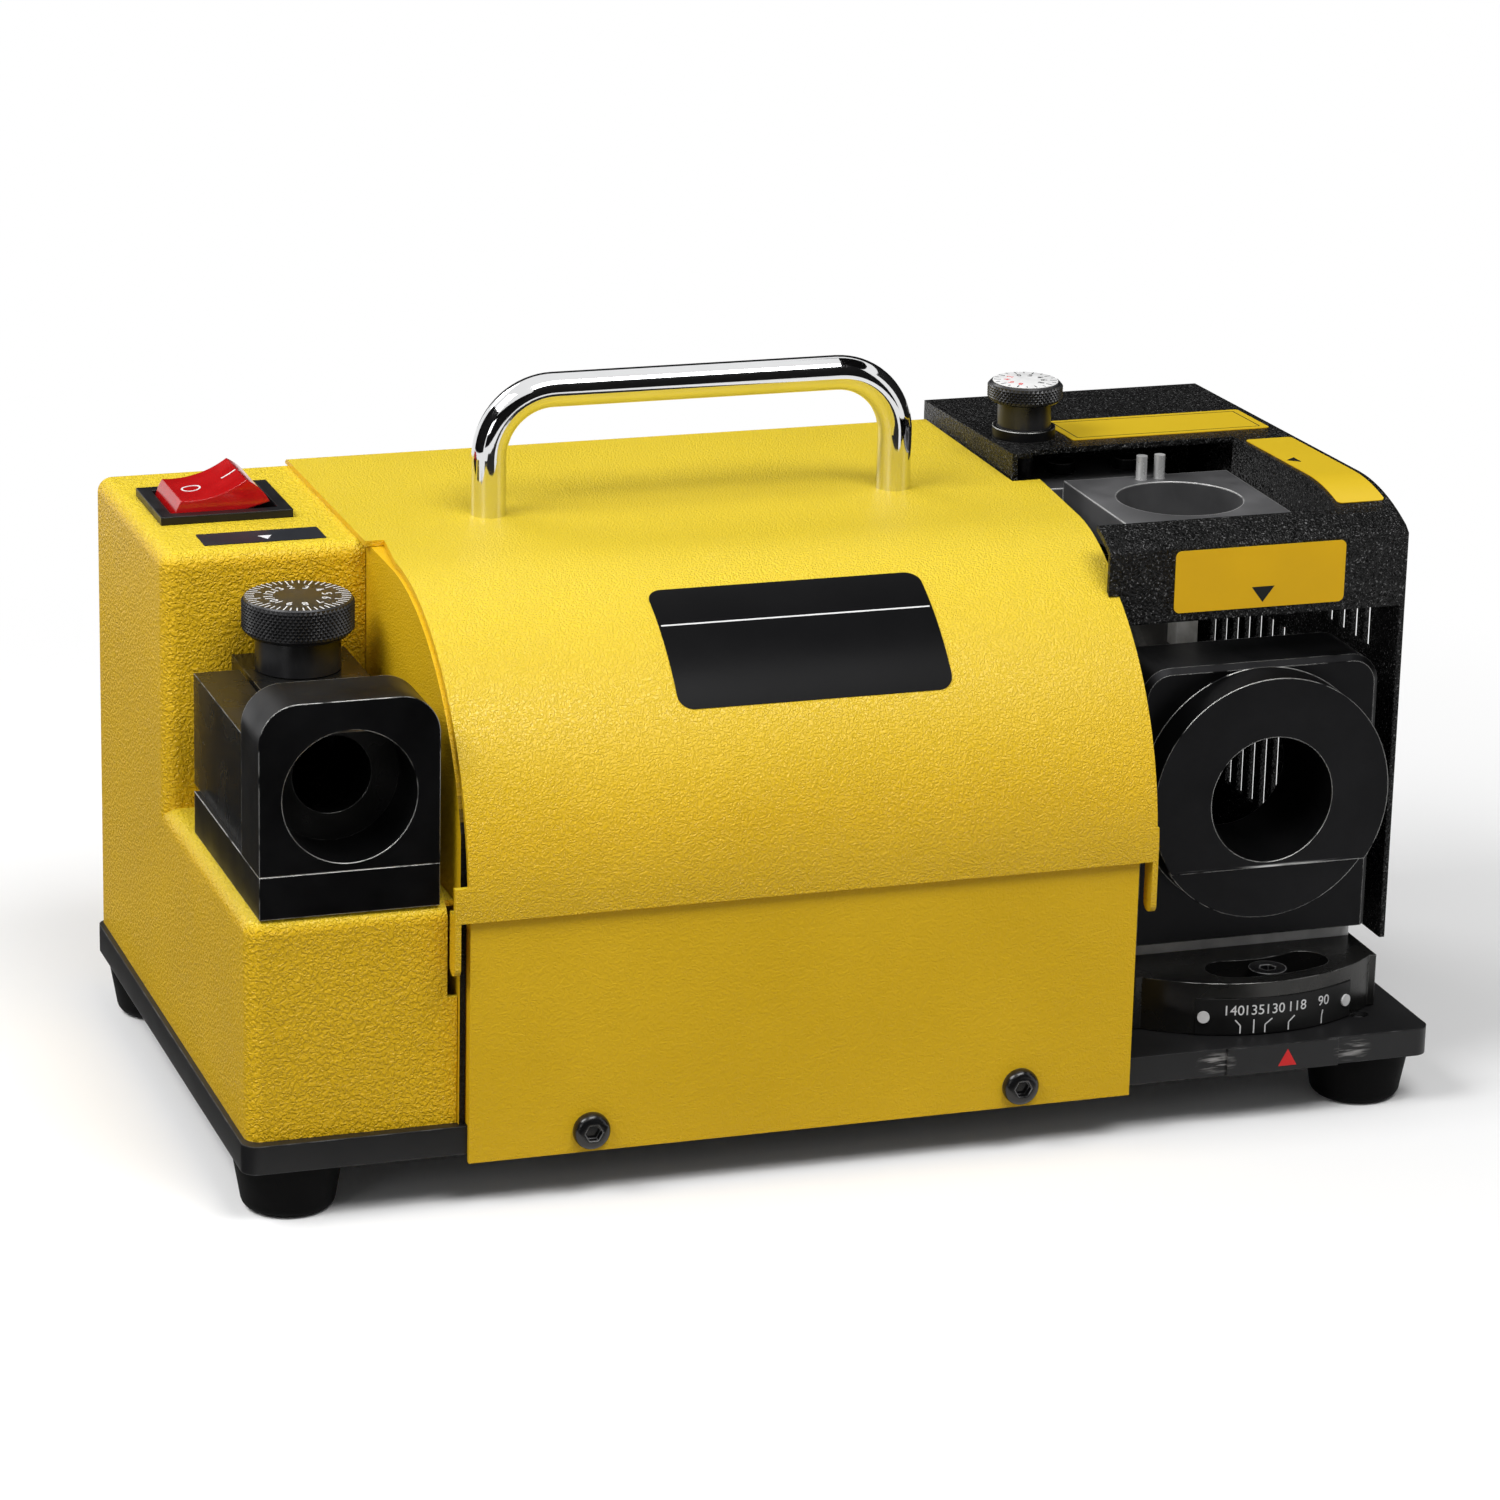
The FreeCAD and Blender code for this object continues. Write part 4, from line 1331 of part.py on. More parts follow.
# Swivel pivot, flange-head clamp screw, and the pointer on the base's front edge
save("pivot_pin", [rod_z(PIVOT_RADIUS, FOOT_HEIGHT, SECTOR_TOP - WORKING_GAP, HOLDER_X, PIVOT_Y)])
collar_base = CLAMP_SEAT + WORKING_GAP
head_base = collar_base + CLAMP_COLLAR_THICK
clamp_screw = fuse([
    rod_z(CLAMP_RADIUS, FOOT_HEIGHT, collar_base, CLAMP_X, CLAMP_Y),
    rod_z(CLAMP_COLLAR_RADIUS, collar_base, head_base, CLAMP_X, CLAMP_Y),
    rod_z(CLAMP_HEAD_RADIUS, head_base, head_base + CLAMP_HEAD_HEIGHT, CLAMP_X, CLAMP_Y),
])
hex_key = hexagon_y(HEX_SOCKET_FLATS, 0, CLAMP_HEAD_HEIGHT, 0, 0)
hex_key.rotate(vec(0, 0, 0), X_AXIS, 90)
hex_key.translate(vec(CLAMP_X, CLAMP_Y, head_base + CLAMP_HEAD_HEIGHT / 3))
save("clamp_screw", [clamp_screw.cut(hex_key)])
save("angle_pointer", [box(HOLDER_X - POINTER_WIDTH / 2, HOLDER_X + POINTER_WIDTH / 2,
                           BASE_FRONT - POINTER_THICK,
                           BASE_FRONT, FOOT_HEIGHT, BASE_TOP)])

# Power switch: snap-in body with a bezel, and the rocker on its cross pin
bezel_top = LEFT_TOP + BEZEL_THICK
switch_floor = LEFT_TOP - SWITCH_BOX_HEIGHT


def centred(length, depth, z0, z1):
    """Box centred on the switch."""
    return box(SWITCH_X - length / 2, SWITCH_X + length / 2, SWITCH_Y - depth / 2, SWITCH_Y + depth / 2,
               z0, z1)


PIVOT_Z = LEFT_TOP - ROCKER_PIVOT_DROP
bezel = centred(BEZEL_LENGTH, BEZEL_DEPTH, LEFT_TOP, bezel_top)
switch_body = fuse([bezel, centred(SWITCH_BOX_LENGTH, SWITCH_BOX_DEPTH, switch_floor, LEFT_TOP)])
switch_body = switch_body.cut(centred(ROCKER_WELL_LENGTH, ROCKER_WELL_DEPTH, bezel_top - WELL_DEPTH,
                                      bezel_top + 1))
pin_half = (ROCKER_WELL_DEPTH + SWITCH_BOX_DEPTH) / 4
switch_body = switch_body.cut(rod_y(ROCKER_PIN_RADIUS + RUNNING, SWITCH_Y - pin_half - WORKING_GAP,
                                    SWITCH_Y + pin_half + WORKING_GAP, SWITCH_X, PIVOT_Z))
save("switch_body", [switch_body])


def rocker_point(degrees, reach):
    """Point of the rocker's side view, measured from straight up."""
    turn = math.radians(degrees)
    return vec(SWITCH_X + reach * math.sin(turn), SWITCH_Y - ROCKER_DEPTH / 2,
               PIVOT_Z + reach * math.cos(turn))


tilt = -ROCKER_REST_TILT
low_edge = 90 - math.degrees(math.asin(ROCKER_ROOT / ROCKER_RADIUS)) + 2 * ROCKER_ROOT
ridge_left = rocker_point(tilt - ROCKER_HALF_ANGLE, ROCKER_RADIUS)
ridge_right = rocker_point(tilt + ROCKER_HALF_ANGLE, ROCKER_RADIUS)
hollow = rocker_point(tilt, ROCKER_RADIUS * math.cos(math.radians(ROCKER_HALF_ANGLE)) - ROCKER_HOLLOW)
root_left = rocker_point(tilt - low_edge, ROCKER_RADIUS)
root_right = rocker_point(tilt + low_edge, ROCKER_RADIUS)
flank_left = rocker_point(tilt - (ROCKER_HALF_ANGLE + low_edge) / 2, ROCKER_RADIUS)
flank_right = rocker_point(tilt + (ROCKER_HALF_ANGLE + low_edge) / 2, ROCKER_RADIUS)
rocker_wire = Part.Wire([
    Part.Arc(ridge_left, hollow, ridge_right).toShape(),
    Part.Arc(ridge_right, flank_right, root_right).toShape(),
    Part.makeLine(root_right, root_left),
    Part.Arc(root_left, flank_left, ridge_left).toShape(),
])
rocker = Part.Face(rocker_wire).extrude(vec(0, ROCKER_DEPTH, 0))
rocker = fuse([
    rocker,
    rod_y(ROCKER_ROOT - 1, SWITCH_Y - ROCKER_DEPTH / 2, SWITCH_Y + ROCKER_DEPTH / 2, SWITCH_X, PIVOT_Z),
    rod_y(ROCKER_PIN_RADIUS, SWITCH_Y - pin_half, SWITCH_Y + pin_half, SWITCH_X, PIVOT_Z),
])
save("switch_rocker", [rocker])
blades = []
for dx in (-BLADE_PITCH_X / 2, BLADE_PITCH_X / 2):
    for dy in (-BLADE_PITCH_Y / 2, BLADE_PITCH_Y / 2):
        x = SWITCH_X + dx
        y = SWITCH_Y + dy
        blades.append(box(x - BLADE_THICK / 2, x + BLADE_THICK / 2, y - BLADE_WIDTH / 2,
                          y + BLADE_WIDTH / 2,
                          switch_floor - BLADE_LENGTH, switch_floor))
save("switch_terminals", blades)

# Cable gland at the back of the left housing, and the rectifier board inside it
gland_face = SKIN_BACK + GLAND_HEX_WIDTH
gland = fuse([
    hexagon_y(GLAND_HEX_FLATS, SKIN_BACK, gland_face, GLAND_X, GLAND_Z),
    rod_y(GLAND_THREAD_RADIUS, BASE_BACK - 2 * GLAND_NUT_WIDTH, SKIN_BACK, GLAND_X, GLAND_Z),
])
gland = gland.cut(rod_y(GLAND_BORE, BASE_BACK - 3 * GLAND_NUT_WIDTH, gland_face + 1, GLAND_X, GLAND_Z))
save("cable_gland", [gland])
gland_nut = hexagon_y(GLAND_HEX_FLATS, BASE_BACK - GLAND_NUT_WIDTH, BASE_BACK, GLAND_X, GLAND_Z)
gland_nut = gland_nut.cut(rod_y(GLAND_THREAD_RADIUS + RUNNING, 0, SKIN_BACK, GLAND_X, GLAND_Z))
save("gland_nut", [gland_nut])

board_x = LEFT_OUTER + SHEET + STANDOFF_LENGTH
board = box(board_x, board_x + BOARD_THICK, BOARD_Y, BOARD_Y + BOARD_LENGTH, BOARD_Z,
            BOARD_Z + BOARD_HEIGHT)
board_face = board_x + BOARD_THICK
bridge_y = BOARD_Y + BOARD_LENGTH / 4
bridge_z = BOARD_Z + BOARD_HEIGHT / 2
bridge = box(board_face, board_face + BRIDGE_HEIGHT, bridge_y - BRIDGE_SIZE / 2, bridge_y + BRIDGE_SIZE / 2,
             bridge_z - BRIDGE_SIZE / 2, bridge_z + BRIDGE_SIZE / 2)
capacitor = rod_x(CAPACITOR_RADIUS, board_face, board_face + CAPACITOR_HEIGHT,
                  BOARD_Y + BOARD_LENGTH * 2 / 3, bridge_z)
save("rectifier_board", [board, bridge, capacitor])
standoffs = [rod_x(STANDOFF_RADIUS, LEFT_OUTER + SHEET, board_x, y, z) for y, z in BOARD_SPOTS]
save("board_standoffs", standoffs)
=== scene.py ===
import bpy
import math
from mathutils import Matrix, Vector


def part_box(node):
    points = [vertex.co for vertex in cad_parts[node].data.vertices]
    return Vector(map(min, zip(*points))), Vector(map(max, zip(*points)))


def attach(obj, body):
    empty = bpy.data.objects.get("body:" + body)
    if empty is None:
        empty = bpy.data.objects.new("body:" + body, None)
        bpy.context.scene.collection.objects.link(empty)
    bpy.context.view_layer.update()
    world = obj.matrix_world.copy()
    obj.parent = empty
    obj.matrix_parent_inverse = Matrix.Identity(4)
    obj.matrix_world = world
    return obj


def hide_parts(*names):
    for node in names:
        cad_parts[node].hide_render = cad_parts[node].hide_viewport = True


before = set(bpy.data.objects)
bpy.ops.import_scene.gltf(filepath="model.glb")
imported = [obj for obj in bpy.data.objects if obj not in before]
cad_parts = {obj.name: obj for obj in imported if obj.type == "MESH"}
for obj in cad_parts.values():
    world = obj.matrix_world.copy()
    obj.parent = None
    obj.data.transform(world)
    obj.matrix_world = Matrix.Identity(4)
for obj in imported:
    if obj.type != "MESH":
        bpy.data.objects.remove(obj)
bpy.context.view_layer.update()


# Base plate: a flat steel plate, blackened and oiled, which carries every other piece.
# Its front edge is scuffed on both sides of the angle pointer, where the swivel is handled most.
def node(tree, kind, inputs, **settings):
    """Add a shader node with its settings, and set or link each named input."""
    made = tree.nodes.new("ShaderNode" + kind)
    for key, value in settings.items():
        setattr(made, key, value)
    for key, value in inputs.items():
        if isinstance(value, bpy.types.NodeSocket):
            tree.links.new(value, made.inputs[key])
        else:
            made.inputs[key].default_value = value
    return made


def object_place(tree):
    """Places on the piece, in the machine's own frame."""
    return node(tree, "TexCoord", {}).outputs["Object"]


def in_sizes(tree, sizes, middle=(0.0, 0.0, 0.0)):
    """Places on the piece counted from a middle, in a size of its own along each axis."""
    start = [-m / s for m, s in zip(middle, sizes)]
    return node(tree, "Mapping", {"Vector": object_place(tree), "Location": start,
                                  "Scale": [1.0 / s for s in sizes]}).outputs["Vector"]


def noise(tree, place, scale, detail, twist=0.0):
    """Cloudy noise, finer as its scale grows."""
    return node(tree, "TexNoise", {"Vector": place, "Scale": scale, "Detail": detail,
                                   "Distortion": twist}).outputs["Fac"]


def ramp(tree, value, start, end, low=0.0, high=1.0, **settings):
    """Take a value that runs from start to end to one that runs from low to high."""
    return node(tree, "MapRange", {"Value": value, "From Min": start, "From Max": end,
                                   "To Min": low, "To Max": high}, **settings).outputs["Result"]


def maths(tree, operation, first, second):
    """One sum on two values."""
    return node(tree, "Math", {0: first, 1: second}, operation=operation).outputs["Value"]


def blend(tree, share, under, over):
    """A colour between two others, by the colour sockets of a Mix node."""
    return node(tree, "Mix", {0: share, 6: under, 7: over}, data_type="RGBA").outputs[2]


def tint(tree, mask, colour):
    """Lay a colour over a finish as far as the mask allows."""
    base = tree.nodes["Principled BSDF"].inputs["Base Color"]
    tree.links.new(blend(tree, mask, base.links[0].from_socket, (*colour, 1.0)), base)


DRIFT = (0.3, 0.7)            # the part of the noise over which a finish goes from dark to light
PEBBLE_RISE = (0.34, 0.66)    # the part over which a pebble rises
PEBBLE_TWIST = 0.7            # how far the pebbles are drawn out
EDGE_LEAN = (0.975, 0.84)        # how far a corner leans, as a cosine, from a plain face to a paled edge
CHIP_SCALE = 170.0
CHIP_RISE = (0.64, 0.76)      # the part of the noise over which a corner starts to chip
CHIP_SPREAD = 0.4             # how far that part comes down as more is rubbed


def finish(name, dark, light, rough, patch=30.0, metal=0.0, gloss=0.5, grain=None,
           stretch=(1, 1, 1), pebble=None, edge=0.0, worn_and_lit=None):
    """A surface whose tone and gloss drift from place to place, with its own relief.

    Grain, which may be stretched, or pebble gives the relief's size and depth. Edge is the
    radius that softens the corners. The last gives a pale tone and how much of the corners takes
    it:
    edges partly rubbed bare and partly painted highlight.
    """
    mat = bpy.data.materials.new(name)
    mat.use_nodes = True
    tree = mat.node_tree
    skin = tree.nodes["Principled BSDF"]
    skin.inputs["Metallic"].default_value = metal
    skin.inputs["Specular IOR Level"].default_value = gloss
    place = object_place(tree)
    drift = noise(tree, place, patch, 5.0)
    tone = node(tree, "ValToRGB", {"Fac": drift})
    for stop, position, colour in zip(tone.color_ramp.elements, DRIFT, (dark, light)):
        stop.position = position
        stop.color = (*colour, 1.0)
    tree.links.new(tone.outputs["Color"], skin.inputs["Base Color"])
    tree.links.new(ramp(tree, drift, *DRIFT, *rough), skin.inputs["Roughness"])
    if grain:
        size, depth = grain
        height = noise(tree, in_sizes(tree, [size * s for s in stretch]), 1.0, 3.0)
    else:
        size, depth = pebble
        worms = noise(tree, place, 1.0 / size, 1.0, PEBBLE_TWIST)
        height = ramp(tree, worms, *PEBBLE_RISE, interpolation_type="SMOOTHSTEP")
    relief = node(tree, "Bump", {"Height": height, "Distance": depth, "Strength": 1.0})
    tree.links.new(relief.outputs["Normal"], skin.inputs["Normal"])
    if edge:
        corner = node(tree, "Bevel", {"Radius": edge}, samples=6).outputs["Normal"]
        tree.links.new(corner, relief.inputs["Normal"])
    # wear and painted highlight: corners are paled with noisy chips, partly rubbed metal and partly
    # the light along the edges
    if worn_and_lit:
        pale_tone, share = worn_and_lit
        flat = node(tree, "NewGeometry", {}).outputs["True Normal"]
        lean = node(tree, "VectorMath", {0: corner, 1: flat}, operation="DOT_PRODUCT")
        paled = ramp(tree, lean.outputs["Value"], *EDGE_LEAN)
        rise = [level - CHIP_SPREAD * share for level in CHIP_RISE]
        chips = ramp(tree, noise(tree, place, CHIP_SCALE, 4.0), *rise)
        tint(tree, maths(tree, "MULTIPLY", paled, chips), pale_tone)
    return mat


STREAK_REACH = (1.0, 0.3)      # from the rim of a streaked patch to its heart
STREAK_SHOWS = (0.46, 0.66)   # the part of the noise over which a streak shows


def scuff_and_highlight(mat, pale_tone, spot, reach, streak):
    """Paint a pale tone in streaks round one spot: real scuffs on the base, a painted highlight on
    the holder's ledge.
    """
    tree = mat.node_tree
    away = node(tree, "VectorMath", {0: in_sizes(tree, reach, spot)}, operation="LENGTH")
    patch = ramp(tree, away.outputs["Value"], *STREAK_REACH)
    lines = noise(tree, in_sizes(tree, streak), 1.0, 3.0)
    kept = ramp(tree, lines, *STREAK_SHOWS)
    tint(tree, maths(tree, "MULTIPLY", patch, kept), pale_tone)


def dress(mat, *names):
    """Give the finish to whole machine pieces."""
    for name in names:
        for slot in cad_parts[name].material_slots:
            slot.material = mat


plate_black = finish(
    "plate_black", dark=(0.006, 0.006, 0.0065), light=(0.014, 0.014, 0.0145), rough=(0.34, 0.48),
    patch=25.0, gloss=0.32, grain=(0.0006, 0.00001), edge=0.0006, worn_and_lit=((0.10, 0.10, 0.10), 0.35))
POINTER_LOW, POINTER_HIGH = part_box("angle_pointer")
SCUFF_LEVEL = (POINTER_LOW[2] + POINTER_HIGH[2]) / 2
for scuff_x in (POINTER_LOW[0] - 0.003, POINTER_HIGH[0] + 0.004):
    scuff_and_highlight(plate_black, pale_tone=(0.36, 0.35, 0.34), spot=(scuff_x, POINTER_HIGH[1], SCUFF_LEVEL),
          reach=(0.006, 0.003, 0.0034), streak=(0.006, 0.002, 0.0006))
dress(plate_black, "base_plate", "angle_pointer")

# Feet: four tapered rubber cones, moulded, each held by a screw up through a recess.
# The rubber is matt and a little dusty.
foot_rubber = finish(
    "foot_rubber", dark=(0.002, 0.002, 0.002), light=(0.0045, 0.0045, 0.0045), rough=(0.55, 0.75),
    patch=90.0, gloss=0.06, grain=(0.0004, 0.00003), edge=0.0006)
dress(foot_rubber, "rubber_feet")

# Screws: blackened steel for what shows, zinc-plated steel for what is inside.
# They hold the panels, the base, the motor and the ports.
screw_black = finish(
    "screw_black", dark=(0.004, 0.004, 0.0045), light=(0.009, 0.009, 0.010), rough=(0.14, 0.24),
    patch=200.0, grain=(0.0003, 0.000006), edge=0.0006, worn_and_lit=((0.30, 0.30, 0.30), 0.6))
dress(screw_black, "panel_screws", "rear_screws", "clamp_screw", "setting_screws", "holder_screws")
screw_zinc = finish(
    "screw_zinc", dark=(0.42, 0.42, 0.43), light=(0.60, 0.60, 0.60), rough=(0.25, 0.42),
    patch=150.0, metal=1.0, grain=(0.0003, 0.000006))
dress(screw_zinc, "foot_screws", "base_screws", "bulkhead_screws", "handle_screws", "motor_bolts",
      "gland_nut", "board_standoffs")

# Motor: a rolled steel can with magnets inside, cast end bells and a wound armature.
# It is bolted to a blackened bulkhead and drives the wheel straight from its shaft.
can_grey = finish(
    "can_grey", dark=(0.05, 0.05, 0.055), light=(0.09, 0.09, 0.095), rough=(0.35, 0.5),
    patch=60.0, metal=0.7, grain=(0.0005, 0.00001))
dress(can_grey, "motor_can")
cast_alloy = finish(
    "cast_alloy", dark=(0.34, 0.34, 0.35), light=(0.48, 0.48, 0.49), rough=(0.42, 0.6),
    patch=120.0, metal=0.9, grain=(0.0008, 0.00004))
dress(cast_alloy, "drive_end_bell", "rear_end_bell", "wheel_flange")
bulkhead_black = finish(
    "bulkhead_black", dark=(0.006, 0.006, 0.006), light=(0.012, 0.012, 0.012), rough=(0.45, 0.6),
    patch=40.0, gloss=0.25, grain=(0.0008, 0.00003))
dress(bulkhead_black, "bulkhead")
ground_steel = finish(
    "ground_steel", dark=(0.46, 0.46, 0.47), light=(0.62, 0.62, 0.62), rough=(0.18, 0.3),
    patch=80.0, metal=1.0, grain=(0.0003, 0.000006), stretch=(12, 1, 1))
dress(ground_steel, "motor_shaft", "motor_bearings", "wheel_nut", "pivot_pin", "switch_terminals")
core_steel = finish(
    "core_steel", dark=(0.16, 0.16, 0.17), light=(0.25, 0.25, 0.26), rough=(0.4, 0.55),
    patch=50.0, metal=0.9, grain=(0.0005, 0.00003), stretch=(1, 30, 30))
dress(core_steel, "armature_core")
coil_copper = finish(
    "coil_copper", dark=(0.50, 0.17, 0.07), light=(0.72, 0.29, 0.12), rough=(0.25, 0.4),
    patch=150.0, metal=1.0, grain=(0.0006, 0.00008), stretch=(1, 8, 8))
dress(coil_copper, "armature_windings", "commutator")
magnet_grey = finish(
    "magnet_grey", dark=(0.03, 0.03, 0.032), light=(0.05, 0.05, 0.053), rough=(0.6, 0.8),
    patch=200.0, grain=(0.0004, 0.00003))
dress(magnet_grey, "field_magnets")
brush_carbon = finish(
    "brush_carbon", dark=(0.018, 0.018, 0.019), light=(0.032, 0.032, 0.033), rough=(0.5, 0.7),
    patch=300.0, grain=(0.0003, 0.00002))
dress(brush_carbon, "brushes")
inner_plastic = finish(
    "inner_plastic", dark=(0.014, 0.014, 0.015), light=(0.022, 0.022, 0.023), rough=(0.4, 0.55),
    patch=150.0, gloss=0.4, grain=(0.0004, 0.00001))
dress(inner_plastic, "brush_holders", "cooling_fan", "cable_gland")
board_green = finish(
    "board_green", dark=(0.012, 0.10, 0.035), light=(0.02, 0.15, 0.05), rough=(0.3, 0.4),
    patch=90.0, grain=(0.0006, 0.00001))
dress(board_green, "rectifier_board")
wheel_grit = finish(
    "wheel_grit", dark=(0.022, 0.021, 0.019), light=(0.050, 0.047, 0.042), rough=(0.7, 0.9),
    patch=900.0, gloss=0.3, grain=(0.00025, 0.00012))
dress(wheel_grit, "grinding_wheel")


# Yellow body: folded sheet steel, powder coated with a pebbled texture, with a paler lemon yellow
# painted on faces that look up as painted top light. The
# housing has the coarsest coat, the curved cover a finer one and the lower panel a smooth one.
# The cheek's front edge, deep in the gap beside the panel, is painted near black as painted shade
# in that gap.
def facing_along(tree, normal, axis):
    """How far the surface faces along an axis."""
    way = node(tree, "NewGeometry", {}).outputs[normal]
    return node(tree, "SeparateXYZ", {0: way}).outputs[axis]


UPWARDS = (0.25, 1.0)         # from a steep face to a level one
FRONTWARDS = (-0.85, -0.95)   # from a slanting face to one that looks straight to the front


def paint_top_lighting(mat, faded):
    """Paint a colour over a finish where it faces up, standing in for the light that falls on top.
    """
    tree = mat.node_tree
    tint(tree, ramp(tree, facing_along(tree, "Normal", "Z"), *UPWARDS), faded)


def paint_front_shade(mat, dark):
    """Paint shade on faces that look straight to the front."""
    tree = mat.node_tree
    tint(tree, ramp(tree, facing_along(tree, "True Normal", "Y"), *FRONTWARDS), dark)


YELLOW = {"dark": (0.79, 0.480, 0.009), "light": (0.85, 0.522, 0.012), "patch": 22.0}
# painted light: the paler lemon yellow that faces looking up take, standing in for the strong light
# on top
TOP_LIT_YELLOW = (0.82, 0.605, 0.030)
coat_coarse = finish("coat_coarse", **YELLOW, rough=(0.32, 0.42), gloss=0.28,
                     pebble=(0.0009, 0.00029))
paint_top_lighting(coat_coarse, TOP_LIT_YELLOW)
dress(coat_coarse, "left_housing")
coat_fine = finish("coat_fine", **YELLOW, rough=(0.28, 0.38), gloss=0.40,
                   pebble=(0.0006, 0.00018))
paint_top_lighting(coat_fine, TOP_LIT_YELLOW)
dress(coat_fine, "main_cover")
coat_smooth = finish("coat_smooth", **YELLOW, rough=(0.34, 0.44), gloss=0.28,
                     pebble=(0.0006, 0.00008))
dress(coat_smooth, "front_panel")
coat_cheek = finish("coat_cheek", **YELLOW, rough=(0.34, 0.44), gloss=0.20,
                    pebble=(0.0006, 0.00013))
# painted shade: the cheek's front-facing edge is coloured near black, standing in for the shade in
# the gap beside the panel
paint_front_shade(coat_cheek, (0.006, 0.005, 0.004))
dress(coat_cheek, "left_cheek")


# Name plate: a printed film with rounded corners, stuck on the curved front of the cover.
# It is satin black and bare but for one thin white line.
def pick(piece):
    """Select one piece alone and make it the active one."""
    bpy.ops.object.select_all(action="DESELECT")
    piece.select_set(True)
    bpy.context.view_layer.objects.active = piece


def carry(piece, spot):
    """Take every point of a flat piece to its place on the machine."""
    for vertex in piece.data.vertices:
        vertex.co = spot(*vertex.co)
    piece.data.update()


def use_modifier(piece, kind, **settings):
    """Put a modifier on a piece and apply it."""
    modifier = piece.modifiers.new(kind.lower(), kind)
    for key, value in settings.items():
        setattr(modifier, key, value)
    pick(piece)
    bpy.ops.object.modifier_apply(modifier=modifier.name)


def thicken(piece, thickness):
    """Give a flat piece its thickness, on its outer side."""
    use_modifier(piece, "SOLIDIFY", thickness=thickness, offset=1.0)


def flat_film(name, width, height, corner, strips):
    """A flat sheet with rounded corners, cut across into strips so that it can bend."""
    bpy.ops.object.select_all(action="DESELECT")
    bpy.ops.mesh.primitive_plane_add(size=1.0)
    film = bpy.context.object
    film.name = name
    film.scale = (width, height, 1.0)
    bpy.ops.object.transform_apply(scale=True)
    bpy.ops.object.mode_set(mode="EDIT")
    bpy.ops.mesh.select_all(action="SELECT")
    bpy.ops.mesh.bevel(offset=corner, segments=7, affect="VERTICES")
    for i in range(1, strips):
        bpy.ops.mesh.select_all(action="SELECT")
        bpy.ops.mesh.bisect(plane_co=(0.0, height * (i / strips - 0.5), 0.0),
                            plane_no=(0.0, 1.0, 0.0))
    bpy.ops.object.mode_set(mode="OBJECT")
    return film


SMOOTH_TURN = math.radians(35)


def settle(piece, mat, body):
    """Finish a new piece: smooth it, coat it and fix it to its body."""
    pick(piece)
    bpy.ops.object.shade_smooth_by_angle(angle=SMOOTH_TURN)
    piece.data.materials.clear()
    piece.data.materials.append(mat)
    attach(piece, body)


def stick(piece, spot, thickness, mat):
    """Stick a flat piece on the machine's body."""
    carry(piece, spot)
    thicken(piece, thickness)
    settle(piece, mat, "frame")


COVER_RADIUS = 0.0705
COVER_LOW, COVER_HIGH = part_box("main_cover")
COVER_AXIS = (COVER_LOW[1] + COVER_RADIUS, COVER_HIGH[2] - COVER_RADIUS)
PLATE_ANGLE = math.radians(36.4)
PLATE_X = -0.0094
LINE_UP = 0.0058
FILM = 0.0002       # thickness of a stuck film
PRINT = 0.00004     # thickness of a printed mark


def on_cover(u, v, w):
    """Wrap a flat point round the cover's curve."""
    turn = PLATE_ANGLE - v / COVER_RADIUS
    reach = COVER_RADIUS + w
    return Vector((PLATE_X + u, COVER_AXIS[0] - reach * math.sin(turn),
                   COVER_AXIS[1] + reach * math.cos(turn)))


plate_ink = finish(
    "plate_ink", dark=(0.003, 0.003, 0.0035), light=(0.005, 0.005, 0.0055), rough=(0.28, 0.36),
    patch=40.0, gloss=0.05, grain=(0.0010, 0.000012))
name_plate = flat_film("name_plate", width=0.0728, height=0.0378, corner=0.004, strips=26)
stick(name_plate, on_cover, FILM, plate_ink)
print_white = finish(
    "print_white", dark=(0.72, 0.72, 0.72), light=(0.82, 0.82, 0.82), rough=(0.4, 0.5),
    patch=400.0, gloss=0.4, grain=(0.0004, 0.000004))
plate_line = flat_film("plate_line", width=0.0716, height=0.00045, corner=0.0001, strips=2)
stick(plate_line, lambda u, v, w: on_cover(u, v + LINE_UP, w + FILM), PRINT, print_white)


# Setting strip: a dark printed film on the housing's flat top, behind the setting dial.
# A small white mark points at the dial.
def arrow(name, width, height):
    """A flat three-cornered mark whose point is towards -Y."""
    bpy.ops.object.select_all(action="DESELECT")
    bpy.ops.mesh.primitive_circle_add(vertices=3, radius=1.0, fill_type="NGON")
    mark = bpy.context.object
    mark.name = name
    low = min(vertex.co.y for vertex in mark.data.vertices)
    tall = max(vertex.co.y for vertex in mark.data.vertices) - low
    wide = max(vertex.co.x for vertex in mark.data.vertices) * 2
    for vertex in mark.data.vertices:
        x, y = vertex.co.xy
        vertex.co = (-x * width / wide, height * (0.5 - (y - low) / tall), 0.0)
    return mark


STRIP_AT = Vector((-0.130, 0.0165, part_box("left_housing")[1][2]))
STRIP_MARK_AT = STRIP_AT + Vector((0.001, -0.0015, FILM))
strip_grey = finish(
    "strip_grey", dark=(0.020, 0.022, 0.026), light=(0.030, 0.032, 0.038), rough=(0.30, 0.38),
    patch=60.0, gloss=0.10, grain=(0.0008, 0.00001))
setting_strip = flat_film("setting_strip", width=0.032, height=0.0105, corner=0.0003, strips=2)
stick(setting_strip, lambda u, v, w: STRIP_AT + Vector((u, v, w)), FILM, strip_grey)
strip_arrow = arrow("strip_arrow", width=0.0036, height=0.0034)
stick(strip_arrow, lambda u, v, w: STRIP_MARK_AT + Vector((u, v, w)), PRINT, print_white)

